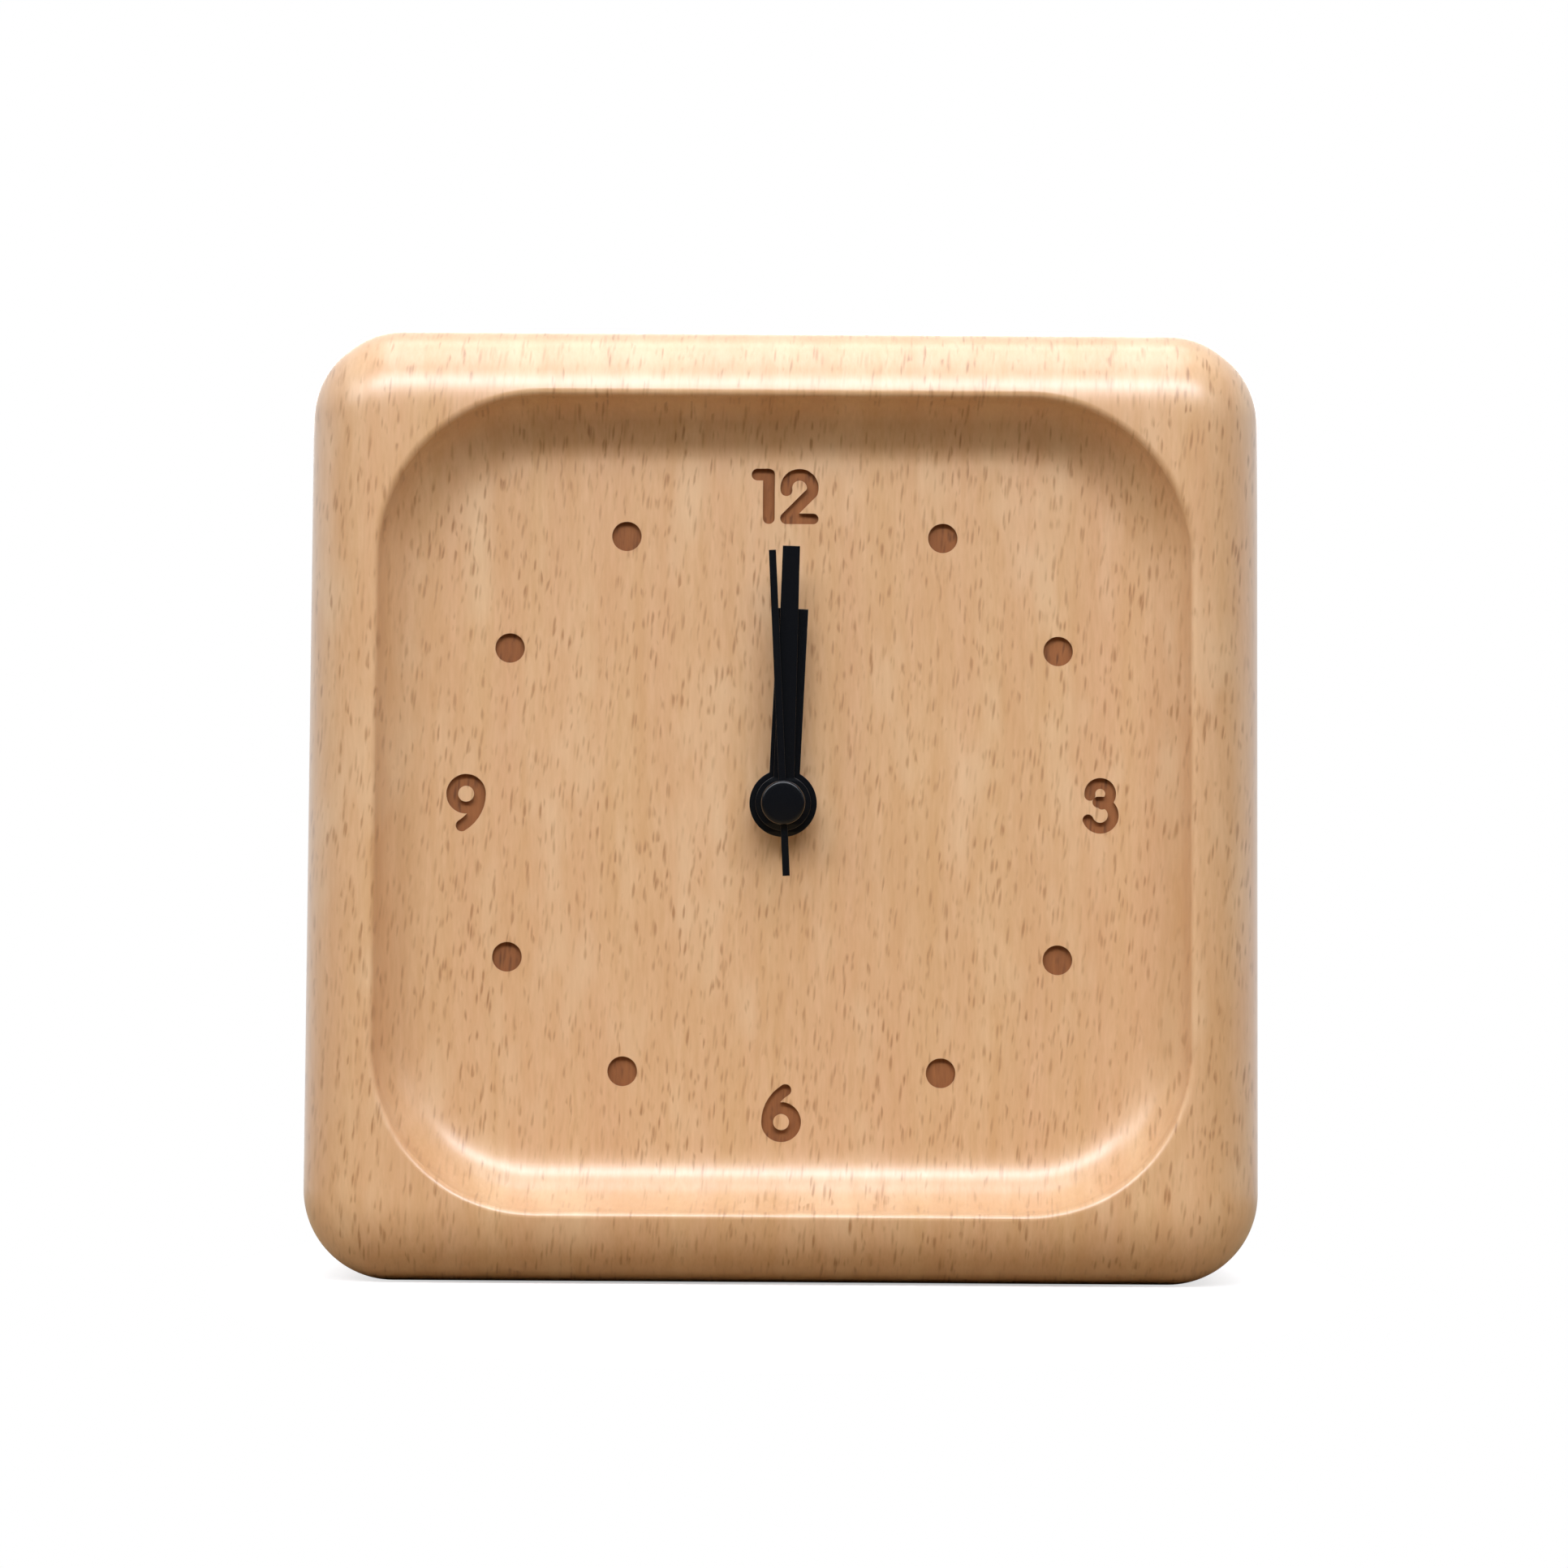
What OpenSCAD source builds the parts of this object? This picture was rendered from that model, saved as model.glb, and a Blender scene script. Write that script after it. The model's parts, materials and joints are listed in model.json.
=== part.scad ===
// Square wooden alarm clock with a dished dial, seen from the front along +Y.
// X runs to the right, Y from front to back, Z up. The block stands on Z = 0.

/* [Wooden block] */
// Width of the block
case_w = 100; // [96:1:120]
// Height of the block
case_h = 100; // [96:1:120]
// Depth of the block from rim to back
case_depth = 40; // [39:0.5:60]
// Radius of the four corners seen from the front
corner_r = 9.5; // [9.25:0.25:14]
// Radius of the crowned front edge
crown_r = 9; // [4:0.25:9]
// Radius of the softened back edge
back_edge_r = 1.5; // [0.5:0.25:3]

/* [Dish and dial] */
// Width of the mouth of the dish
dish_w = 84.5; // [80:0.5:86]
// Height of the mouth of the dish
dish_h = 84.5; // [80:0.5:86]
// Corner radius of the mouth
dish_corner_r = 17; // [12:0.5:20]
// Depth of the flat dial behind the front of the rim
dish_depth = 6.75; // [6.65:0.05:8]
// Radius of the cove between the dial and the wall of the dish
cove_r = 6.4; // [3:0.1:6.4]
// Thickness of the wood behind the dial
dial_web = 5; // [4.6:0.1:6]

/* [Engraved marks] */
// Half width of the oval that the hour marks lie on
marks_across = 33.3; // [30:0.1:33.5]
// Half height of that oval
marks_up = 32.4; // [30:0.1:33.5]
// Diameter of a dot
dot_d = 3.1; // [2:0.1:4]
// Height of a numeral
numeral_h = 5.85; // [5:0.05:6.5]
// Stroke of a numeral
numeral_stroke = 1.25; // [1:0.05:1.35]
// Depth of the engraving
engrave_depth = 0.5; // [0.3:0.05:0.8]

/* [Hands] */
// Length of the hour hand from the axis
hour_hand_l = 20.4; // [15:0.1:24]
// Width of the hour hand
hour_hand_w = 3.2; // [2.4:0.1:4]
// Diameter of the hour hand's hub
hour_hub_d = 7.05; // [6.7:0.05:8]
// Length of the minute hand from the axis
minute_hand_l = 26.9; // [24:0.1:29]
// Width of the minute hand at its tip
minute_tip_w = 1.8; // [1:0.1:2]
// Width of the minute hand at the axis
minute_base_w = 2.15; // [2:0.05:3]
// Diameter of the minute hand's hub
minute_hub_d = 5.8; // [5:0.1:6.6]
// Length of the second hand from the axis
second_hand_l = 26.4; // [22:0.1:29]
// Length of the second hand's tail from the axis
second_tail_l = 7.6; // [5:0.1:12]
// Width of the second hand
second_hand_w = 0.75; // [0.5:0.05:1]
// Diameter of the cap on the second hand
second_cap_d = 4.6; // [3.5:0.1:5.5]
// Length of the alarm hand from the axis
alarm_hand_l = 16; // [10:0.5:19]
// Width of the alarm hand
alarm_hand_w = 1.4; // [1:0.1:2]
// Diameter of the alarm hand's hub
alarm_hub_d = 6; // [5.4:0.1:6.6]
// Thickness of the hands
hand_t = 0.35; // [0.25:0.05:0.4]
// Angle of the hour hand and the alarm hand, clockwise from twelve
hour_angle = 2.6; // [-20:0.1:20]
// Angle of the minute hand, clockwise from twelve
minute_angle = 1.5; // [-20:0.1:20]
// Angle of the second hand, clockwise from twelve
second_angle = -2.8; // [-20:0.1:20]

/* [Rear cover] */
// Width and height of the rear cover
cover_w = 80; // [78:0.5:84]
// Corner radius of the rear cover
cover_corner_r = 8; // [4:0.5:9]
// Thickness of the rear cover
cover_t = 2; // [1.8:0.1:2.4]
// How deep the cover lies behind the back of the block
cover_recess = 0.5; // [0:0.1:1]
// Width and height of the pocket in the block
pocket_w = 70; // [69:0.5:72]
// Corner radius of the pocket
pocket_corner_r = 10; // [6:0.5:12]
// Distance of the cover screws from the middle, across and up
cover_screw_at = 35.5; // [35:0.1:36]
// Inner diameter of the wells round the knobs
well_d = 15.6; // [15:0.1:16.4]
// Wall of the wells and of the battery chute
well_wall = 1.2; // [1:0.1:1.4]
// Depth of the knob wells as a share of the room behind the movement
well_depth_share = 0.6; // [0.54:0.01:0.63]

/* [Knobs and switch] */
// Diameter of a knob
knob_d = 12.6; // [11:0.1:13]
// How far the knobs lie below the outer face of the cover
knob_inset = 0.5; // [0.3:0.1:1.5]
// Number of grooves round a knob
knob_grooves = 18; // [8:1:24]
// Travel of the alarm switch
switch_travel = 4; // [3:0.1:4]
// Length of the switch button
switch_l = 6; // [5:0.1:7]
// Width of the switch button
switch_w = 3.4; // [3:0.1:4]

/* [Movement] */
// Width of the movement
move_w = 58; // [58:0.5:60]
// Height of the movement above its axis
move_above = 24; // [24:0.5:26]
// Height of the movement below its axis
move_below = 34; // [34:0.1:34.4]
// Thickness of the movement
move_t = 16.75; // [16.75:0.05:18]
// Side wall of the movement's shells
shell_wall = 1.4; // [1.2:0.1:1.4]
// Front and back wall of the movement's shells
shell_floor = 1.2; // [1:0.1:1.2]
// Thickness of the wheels
wheel_t = 0.9; // [0.8:0.05:0.9]
// Distance from the axis to the intermediate wheel
intermediate_distance = 7.84; // [7.84:0.01:7.94]
// Distance from the intermediate wheel to the rotor
rotor_distance = 6.72; // [6.72:0.01:6.82]
// Distance from the axis to the third wheel
third_distance = 10; // [9.8:0.05:10.1]
// Distance from the axis to the transfer wheel
transfer_distance = 9; // [8.9:0.01:9]
// Distance from the axis to the alarm idler
idler_distance = 11.2; // [11:0.05:11.2]

/* [Battery] */
// Diameter of the cell
cell_d = 14.5; // [14:0.1:14.5]
// Length of the cell with its button
cell_l = 50.5; // [44:0.1:58]
// Room for the spring and its plate at the cell's flat end
spring_room = 4; // [3.6:0.1:5]

/* [Hidden] */
$fn = 48;

// overrun of every cut past the face it opens, and clearances
over = 0.5;
running_gap = 0.05;
loose_gap = 0.3;
seat_gap = 0.2;
hair_gap = 0.1;

// faces from front to back
front_y = -case_depth / 2;
back_y = case_depth / 2;
dial_y = front_y + dish_depth;
floor_y = dial_y + dial_web;
cover_out_y = back_y - cover_recess;
ledge_y = cover_out_y - cover_t;
axis_z = case_h / 2;
dial_marks_y = dial_y + engrave_depth;
move_front_y = floor_y;
move_rear_y = move_front_y + move_t;
inside_front_y = move_front_y + shell_floor;
inside_rear_y = move_rear_y - shell_floor;
front_shell_share = 0.53;
split_y = move_front_y + move_t * front_shell_share;

// gaps between the wheels' levels
floor_gap = 0.35;
contact_space = 0.6;
level_gap = 0.3;
pinion_overlap = 0.1;
wide_gap = 0.4;

// levels of the wheels
alarm_y0 = inside_front_y + floor_gap;
alarm_y1 = alarm_y0 + wheel_t;
hour_y0 = alarm_y1 + contact_space;
hour_y1 = hour_y0 + wheel_t;
transfer_y0 = hour_y1 + level_gap;
transfer_y1 = transfer_y0 + wheel_t;
centre_y0 = transfer_y1 + level_gap;
centre_y1 = centre_y0 + wheel_t;
third_y0 = centre_y1 + wide_gap;
third_y1 = third_y0 + wheel_t;
plate_gap = 0.6;
plate_t = 1;
plate_y0 = third_y1 + plate_gap;
plate_y1 = plate_y0 + plate_t;
seconds_y0 = plate_y1 + wide_gap;
seconds_y1 = seconds_y0 + wheel_t;
intermediate_y0 = seconds_y1 + level_gap;
intermediate_y1 = intermediate_y0 + wheel_t;
board_gap = 1.4;
board_t = 1;
board_y0 = plate_y1 + board_gap;
board_y1 = board_y0 + board_t;

// teeth of the wheels and pinions
rotor_teeth = 8;
intermediate_teeth = 40;
intermediate_pinion_teeth = 8;
seconds_teeth = 48;
seconds_pinion_teeth = 8;
third_teeth = 60;
third_pinion_teeth = 8;
centre_teeth = 64;
cannon_teeth = 12;
transfer_teeth = 36;
transfer_pinion_teeth = 10;
hour_teeth = 40;
time_pinion_teeth = 12;
alarm_teeth = 36;
idler_teeth = 20;
alarm_pinion_teeth = 12;

// modules that follow from the distances
rotor_module = 2 * rotor_distance / (rotor_teeth + intermediate_teeth);
seconds_module = 2 * intermediate_distance / (seconds_teeth + intermediate_pinion_teeth);
alarm_module = 2 * idler_distance / (alarm_teeth + idler_teeth);
third_module = 2 * third_distance / (seconds_pinion_teeth + third_teeth);
centre_module = 2 * third_distance / (third_pinion_teeth + centre_teeth);
cannon_module = 2 * transfer_distance / (cannon_teeth + transfer_teeth);
hour_module = 2 * transfer_distance / (transfer_pinion_teeth + hour_teeth);

// directions from one axis to the next, in degrees from +X towards +Z
third_angle = 135;
intermediate_angle = 45;
rotor_angle = 20;
transfer_angle = -39;
time_angle = -2;
idler_angle = 211;
alarm_angle = 182;

function toward(from, dir, distance) = [from[0] + distance * cos(dir), from[1] + distance * sin(dir)];
function pair_distance(module_size, a, b) = module_size * (a + b) / 2;
axis_at = [0, 0];
third_at = toward(axis_at, third_angle, third_distance);
intermediate_at = toward(axis_at, intermediate_angle, intermediate_distance);
rotor_at = toward(intermediate_at, rotor_angle, rotor_distance);
transfer_at = toward(axis_at, transfer_angle, transfer_distance);
time_at = toward(transfer_at, time_angle, pair_distance(cannon_module, transfer_teeth, time_pinion_teeth));
idler_at = toward(axis_at, idler_angle, idler_distance);
alarm_at = toward(idler_at, alarm_angle, pair_distance(alarm_module, idler_teeth, alarm_pinion_teeth));

// Angle of a tooth on gear b so that it meshes with gear a, whose teeth start at phase_a.
function mesh_phase(dir, phase_a, a, b) =
    dir + 180 - (360 / b) * (1 / 2 - (dir - phase_a) * a / 360);
intermediate_phase = mesh_phase(rotor_angle + 180, 0, rotor_teeth, intermediate_teeth);
seconds_phase = mesh_phase(intermediate_angle + 180, 0, intermediate_pinion_teeth, seconds_teeth);
third_phase = mesh_phase(third_angle, 0, seconds_pinion_teeth, third_teeth);
centre_phase = mesh_phase(third_angle + 180, 0, third_pinion_teeth, centre_teeth);
transfer_phase = mesh_phase(transfer_angle, 0, cannon_teeth, transfer_teeth);
time_phase = mesh_phase(time_angle, transfer_phase, transfer_teeth, time_pinion_teeth);
hour_phase = mesh_phase(transfer_angle + 180, 0, transfer_pinion_teeth, hour_teeth);
idler_phase = mesh_phase(idler_angle, 0, alarm_teeth, idler_teeth);
alarm_phase = mesh_phase(alarm_angle, idler_phase, idler_teeth, alarm_pinion_teeth);

// tooth shape: reach outside and inside the pitch circle in modules,
// and the tooth's width at tip, pitch circle and root as shares of the pitch
tip_reach_share = 0.8;
root_reach_share = 1.15;
tip_width_share = 0.17;
pitch_width_share = 0.38;
root_width_share = 0.56;

// radii of the nested tubes at the axis
seconds_arbor_r = 0.45;
centre_tube_r = 0.95;
hour_tube_r = 1.5;
alarm_tube_r = 2.05;
bush_r = 3.1;
bush_sink = 0.2;

// radii of the other arbors, studs and bosses
arbor_r = 0.4;
stud_r = 0.6;
pivot_r = 0.7;
knob_shaft_r = 1;
boss_r = 1.3;
front_boss_r = 1.2;
pivot_depth = 0.8;
plate_bite = 0.8;
pivot_bite = 1;
shaft_pass_gap = 0.5;

// heights of the hands in front of the dial
hand_lift = 1.1;
hand_step = 1.15;
tube_past_hand = 0.1;
cap_h = 0.9;
alarm_hand_y = dial_y - hand_lift - hand_t;
hour_hand_y = alarm_hand_y - hand_step;
minute_hand_y = hour_hand_y - hand_step;
second_hand_y = minute_hand_y - hand_step;
second_hub_d = 3;
alarm_tube_end = alarm_hand_y - tube_past_hand;
hour_tube_end = hour_hand_y - tube_past_hand;
centre_tube_end = minute_hand_y - tube_past_hand;
seconds_arbor_end = second_hand_y - tube_past_hand;
cap_wall = 0.3;

// posts, screws and holes inside the movement
post_r = 1.6;
inner_screw_r = 0.8;
inner_screw_l = 3.6;
inner_head_r = 1.5;
inner_head_h = 0.9;
slot_w = 0.4;
slot_depth = 0.4;
plate_left = -19.7;
plate_right = 22.5;
plate_low = -14.8;
plate_high = 13.2;
plate_corner_r = 1.5;
plate_posts = [[-17.7, 11.3], [-17.5, -12.7], [20.5, -12.7], [20.5, 3.5]];
board_left = -23;
board_right = -8.6;
board_low = -14;
board_high = 19;
board_corner_r = 0.5;
board_posts = [[-21.4, -8.5], [-21.4, 17]];

// motor
coil_z = 17.5;
core_left = -2.5;
core_right = 19.5;
core_w = 3.2;
core_t = 0.8;
stator_t = 0.8;
stator_ring_r = 4.4;
stator_leg_w = 3.2;
stator_elbow_z = 11;
magnet_r = 2.4;
magnet_gap = 0.4;
magnet_t = 1;
core_y0 = seconds_y0 + stator_t;
core_y1 = core_y0 + core_t;
coil_left = 0;
coil_right = 17;
coil_r = 2.7;
bobbin_r = 2.2;
bobbin_flange_r = 3.1;
bobbin_flange_t = 1;

// battery bay below the partition
partition_t = 1.2;
partition_top = -15.5;
bay_top = partition_top - partition_t;
bay_bottom = -(move_below - shell_wall);
inside_half_w = move_w / 2 - shell_wall;
contact_t = 0.3;
bay_half_w = (spring_room + cell_l + wide_gap + contact_t) / 2;
strip_x = min(bay_half_w, inside_half_w);
cell_z = (bay_top + bay_bottom) / 2;
cell_y = inside_front_y + cell_d / 2 + hair_gap;
contact_w = 11;
contact_h = 11;
cell_right = bay_half_w - contact_t - wide_gap;
cell_left = cell_right - cell_l;
nub_d = 5.4;
nub_l = 1.5;
cell_edge_r = 0.6;
contact_strip_w = 2.6;
contact_foot_w = 2.5;
positive_foot_x = -14;
foot_reach = 3;
spring_turns = 4;
spring_wire_r = 0.35;
spring_big_r = 4.6;
spring_small_r = 2.6;
spring_sides = 6;
spring_rings_per_turn = 16;
dimple_r = 2.2;

// board parts
buzzer_at = [-16.2, 9.4];
buzzer_d = 12;
buzzer_h = 3;
buzzer_vent_d = 2.4;
buzzer_vent_depth = 1;
crystal_at = [-11, -1.4];
crystal_r = 1;
crystal_l = 6;
crystal_base_r = 1.15;
crystal_base_l = 0.6;
chip_at = [-18.6, -0.6];
chip_r = 2.6;
chip_h = 1.1;
alarm_post_at = [-12, 17.6];
alarm_tip_at = [-1.6, 5];
alarm_strip_w = 2;
alarm_strip_t = 0.2;
switch_at = [-13.5, 17.4];
switch_contact_l = 9;
switch_contact_w = 1.6;
finger_h = 2.2;
finger_l = 1;
tongue_l = 2;
tongue_w = 1.4;

// ears and screws that hold the movement in the block
ear_l = 5;
ear_w = 8;
ear_t = 1.6;
ear_r = 2;
ear_up = 15;
ear_down = -10;
mount_screw_r = 1.1;
mount_head_r = 2.1;
mount_head_h = 1.3;
mount_screw_bite = 3.4;
ear_overlap = 1;

// screws that join the two shells
shell_post_r = 2.1;
post_wall_gap = 0.2;
shell_post_x = inside_half_w - shell_post_r - post_wall_gap;
shell_post_top = move_above - shell_wall - shell_post_r - post_wall_gap;
shell_post_low_left = -2.5;
shell_post_low_right = -12;
shell_posts = [[-shell_post_x, shell_post_top], [shell_post_x, shell_post_top],
    [-shell_post_x, shell_post_low_left], [shell_post_x, shell_post_low_right]];
shell_screw_r = 1;
shell_head_r = 1.9;
shell_head_h = 1.2;
shell_screw_bite = 5;

// rear cover details
cover_screw_r = 1.3;
cover_head_r = 2.5;
cover_head_h = 1.3;
cover_screw_l = 12;
cover_tip_l = 2.5;
cover_land_w = 0.8;
chute_side_gap = 0.6;
chute_w = 2 * (bay_half_w - chute_side_gap);
chute_top = -17;
chute_bottom = -33.6;
chute_end_gap = 0.4;
door_lip = 1.6;
door_t = 1.1;
door_corner_r = 1.5;
door_rib_t = 1.2;
door_rib_h = 3;
door_notch_w = 9;
door_notch_d = 2.4;
sound_hole_d = 1.6;
sound_ring_r = 3.4;
sound_hole_count = 6;
switch_recess_depth = 1;
switch_recess_pad = 1.6;
switch_slot_w = 1.8;
switch_cap_h = 1.3;
switch_rib_count = 3;
switch_rib_h = 0.25;
switch_rib_w = 0.4;
switch_guide_w = 3.2;
switch_guide_l = 4.6;
switch_guide_t = 0.8;
knob_groove_r = 0.7;
knob_edge_r = 0.5;
knob_seat_gap = 0.3;
stem_d = 4.4;

// shapes of the numerals, as shares of their height
one_w_share = 0.42;
two_w_share = 0.69;
two_start_angle = 190;
two_end_angle = -20;
two_base_share = 0.9;
numeral_gap_share = 0.1;
three_top_share = 0.285;
three_low_share = 0.333;
three_w_share = 0.67;
three_stroke_share = 0.92;
three_top_start_angle = 188;
three_top_end_angle = -80;
three_low_start_angle = 100;
three_low_end_angle = -158;
six_bowl_share = 0.356;
six_tail_share = 0.414;
six_tail_angle = 121;

// Places a flat shape drawn in X and Z between two depths.
module between(y0, y1)
    translate([0, y1, 0])
    rotate([90, 0, 0])
    linear_extrude(y1 - y0)
    children();

// Turns a profile drawn in radius and depth about an axis along Y.
module turned(at = [0, 0])
    translate([at[0], 0, axis_z + at[1]])
    rotate([-90, 0, 0])
    rotate_extrude()
    children();

// Moves a flat shape to a place measured from the clock's axis.
module from_axis(at = [0, 0])
    translate([at[0], axis_z + at[1]])
    children();

// A disc, ring or hole about an axis along Y.
module disc(r, y0, y1, at = [0, 0])
    between(y0, y1)
    from_axis(at)
    circle(r);

// A rectangle with round corners, centred.
module round_box(w, h, r)
{
    square([w - 2 * r, h], center = true);
    square([w, h - 2 * r], center = true);
    for (sx = [-1, 1], sz = [-1, 1])
        translate([sx * (w / 2 - r), sz * (h / 2 - r)])
        circle(r);
}

// A round-cornered plate given by its edges.
module edge_box(left, right, low, high, r)
    translate([(left + right) / 2, (low + high) / 2])
    round_box(right - left, high - low, r);

// A straight bar with square ends from one point to another.
module straight_stroke(p, q, w)
    translate(p)
    rotate(atan2(q[1] - p[1], q[0] - p[0]))
    translate([0, -w / 2])
    square([norm(q - p), w]);

// Round ends or joints of a given width.
module dabs(places, w)
    for (at = places)
        translate(at)
        circle(w / 2);

// A bar with round ends.
module bar(p, q, w)
{
    straight_stroke(p, q, w);
    dabs([p, q], w);
}

// A bent stroke with square ends about a centre, from angle a0 down to angle a1.
module bent_stroke(r, w, a0, a1)
{
    steps = ceil((a0 - a1) / 60);
    reach = 2 * (r + w);
    intersection()
    {
        difference()
        {
            circle(r + w / 2);
            circle(r - w / 2);
        }
        polygon(concat([[0, 0]],
            [for (i = [0:steps]) let (a = a0 + (a1 - a0) * i / steps) [reach * cos(a), reach * sin(a)]]));
    }
}

function on_circle(r, a) = [r * cos(a), r * sin(a)];

// Outline of a toothed wheel with straight-sided teeth.
function tooth_ring(teeth, module_size, phase) =
    let (
        pitch_r = teeth * module_size / 2,
        pitch = 360 / teeth,
        radii = [pitch_r - root_reach_share * module_size, pitch_r,
            pitch_r + tip_reach_share * module_size],
        half_shares = [root_width_share / 2, pitch_width_share / 2, tip_width_share / 2]
    )
    [for (i = [0:teeth - 1], k = [0:5])
        let (
            level = k < 3 ? k : 5 - k,
            side = k < 3 ? -1 : 1,
            a = phase + pitch * (i + side * half_shares[level])
        )
        [radii[level] * cos(a), radii[level] * sin(a)]];

module toothed(teeth, module_size, phase, y0, y1, at = [0, 0])
    between(y0, y1)
    from_axis(at)
    polygon(tooth_ring(teeth, module_size, phase));

// Sections through the block and the dish, from a corner's centre outwards.
module block_section()
    intersection()
    {
        translate([0, front_y])
            square([corner_r, case_depth]);
        union()
        {
            translate([0, front_y])
                square([corner_r - crown_r, case_depth]);
            translate([0, front_y + crown_r])
                square([corner_r, case_depth - crown_r - back_edge_r]);
            translate([corner_r - crown_r, front_y + crown_r])
                circle(crown_r);
            translate([0, back_y - back_edge_r - over])
                square([corner_r - back_edge_r, back_edge_r + over]);
            translate([corner_r - back_edge_r, back_y - back_edge_r])
                circle(back_edge_r);
        }
    }

module dish_section()
    intersection()
    {
        translate([0, front_y - over])
            square([dish_corner_r, dish_depth + over]);
        union()
        {
            translate([0, front_y - over])
                square([dish_corner_r, dish_depth + over - cove_r]);
            translate([0, front_y - over])
                square([dish_corner_r - cove_r, dish_depth + over]);
            translate([dish_corner_r - cove_r, dial_y - cove_r])
                circle(cove_r);
        }
    }

// A block whose corners and sides follow a section.
module swept_block(w, h, r, y0, y1)
{
    half_w = w / 2 - r;
    half_h = h / 2 - r;
    translate([0, 0, axis_z])
    {
        between(y0, y1)
            square([2 * half_w, 2 * half_h], center = true);
        for (turn = [0, 180])
            rotate([0, turn, 0])
            {
                translate([half_w, 0, -half_h])
                    linear_extrude(2 * half_h)
                    children();
                translate([-half_w, 0, half_h])
                    rotate([0, 90, 0])
                    linear_extrude(2 * half_w)
                    mirror([1, 0])
                    children();
            }
        for (sx = [-1, 1], sz = [-1, 1])
            translate([sx * half_w, 0, sz * half_h])
            rotate([-90, 0, 0])
            rotate_extrude()
            children();
    }
}

// Numerals, each centred on its place.
module numeral_one()
{
    w = one_w_share * numeral_h;
    s = numeral_stroke;
    foot = [w - s / 2, s / 2];
    top = [w - s / 2, numeral_h - s / 2];
    flag = [s / 2, numeral_h - s / 2];
    straight_stroke(foot, top, s);
    straight_stroke(flag, top, s);
    dabs([foot, top, flag], s);
}

module numeral_two()
{
    w = two_w_share * numeral_h;
    s = numeral_stroke;
    base = s * two_base_share;
    r = w / 2 - s / 2;
    bowl = [w / 2, numeral_h - w / 2];
    heel = [s / 2, s / 2];
    bend = bowl + on_circle(r, two_end_angle);
    translate(bowl)
        bent_stroke(r, s, two_start_angle, two_end_angle);
    straight_stroke(heel, bend, s);
    dabs([bowl + on_circle(r, two_start_angle), bend, heel], s);
    translate([s / 2, 0])
        square([w - s / 2 - base / 2, base]);
    dabs([[w - base / 2, base / 2]], base);
}

module numeral_twelve()
{
    total = (one_w_share + numeral_gap_share + two_w_share) * numeral_h;
    translate([-total / 2, -numeral_h / 2])
    {
        numeral_one();
        translate([(one_w_share + numeral_gap_share) * numeral_h, 0])
            numeral_two();
    }
}

module numeral_three()
{
    s = numeral_stroke * three_stroke_share;
    top_r = three_top_share * numeral_h - s / 2;
    low_r = three_low_share * numeral_h - s / 2;
    translate([0, numeral_h / 2 - top_r - s / 2])
    {
        bent_stroke(top_r, s, three_top_start_angle, three_top_end_angle);
        dabs([on_circle(top_r, three_top_start_angle), on_circle(top_r, three_top_end_angle)], s);
    }
    translate([0, low_r + s / 2 - numeral_h / 2])
    {
        bent_stroke(low_r, s, three_low_start_angle, three_low_end_angle);
        dabs([on_circle(low_r, three_low_start_angle), on_circle(low_r, three_low_end_angle)], s);
    }
}

module numeral_six()
{
    bowl_r = six_bowl_share * numeral_h;
    r = bowl_r - numeral_stroke / 2;
    tail_centre = six_tail_share * numeral_h;
    translate([0, bowl_r - numeral_h / 2])
    {
        difference()
        {
            circle(bowl_r);
            circle(bowl_r - numeral_stroke);
        }
        translate([tail_centre, 0])
        {
            bent_stroke(tail_centre + r, numeral_stroke, 180, six_tail_angle);
            dabs([on_circle(tail_centre + r, six_tail_angle)], numeral_stroke);
        }
    }
}

// The hour marks cut into the dial.
module dial_marks()
{
    between(dial_y - over, dial_marks_y)
    {
        for (hour = [0:11])
            if (hour % 3 != 0)
                from_axis([marks_across * sin(30 * hour), marks_up * cos(30 * hour)])
                circle(dot_d / 2);
        from_axis([0, marks_up])
            numeral_twelve();
        from_axis([marks_across, 0])
            numeral_three();
        from_axis([0, -marks_up])
            numeral_six();
        from_axis([-marks_across, 0])
            rotate(180)
            numeral_six();
    }
}

// Places where the four cover screws and the four mounting screws stand.
function cover_screw_places() = [for (sx = [-1, 1], sz = [-1, 1]) [sx * cover_screw_at, sz * cover_screw_at]];
ear_x = move_w / 2 + ear_l / 2;
function mount_screw_places() = [for (sx = [-1, 1], z = [ear_up, ear_down]) [sx * ear_x, z]];
mount_tip_y = floor_y - mount_screw_bite;
cover_tip_y = cover_out_y - cover_screw_l;

module wooden_case()
    color("burlywood")
    difference()
    {
        swept_block(case_w, case_h, corner_r, front_y, back_y)
            block_section();
        swept_block(dish_w, dish_h, dish_corner_r, front_y - over, dial_y)
            dish_section();
        dial_marks();
        between(floor_y, back_y + over)
            from_axis()
            round_box(pocket_w, pocket_w, pocket_corner_r);
        between(ledge_y, back_y + over)
            from_axis()
            round_box(cover_w + 2 * seat_gap, cover_w + 2 * seat_gap, cover_corner_r + seat_gap);
        disc(bush_r + hair_gap, dial_y - over, floor_y + over);
        for (at = cover_screw_places())
            cover_screw_body(at);
        for (at = mount_screw_places())
            disc(mount_screw_r, mount_tip_y, floor_y + over, at);
    }

// Threaded part of a cover screw, blunt cone at its tip.
module cover_screw_body(at)
    turned(at)
    polygon([[0, cover_tip_y], [cover_screw_r, cover_tip_y + cover_tip_l],
        [cover_screw_r, cover_out_y], [0, cover_out_y]]);

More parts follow.
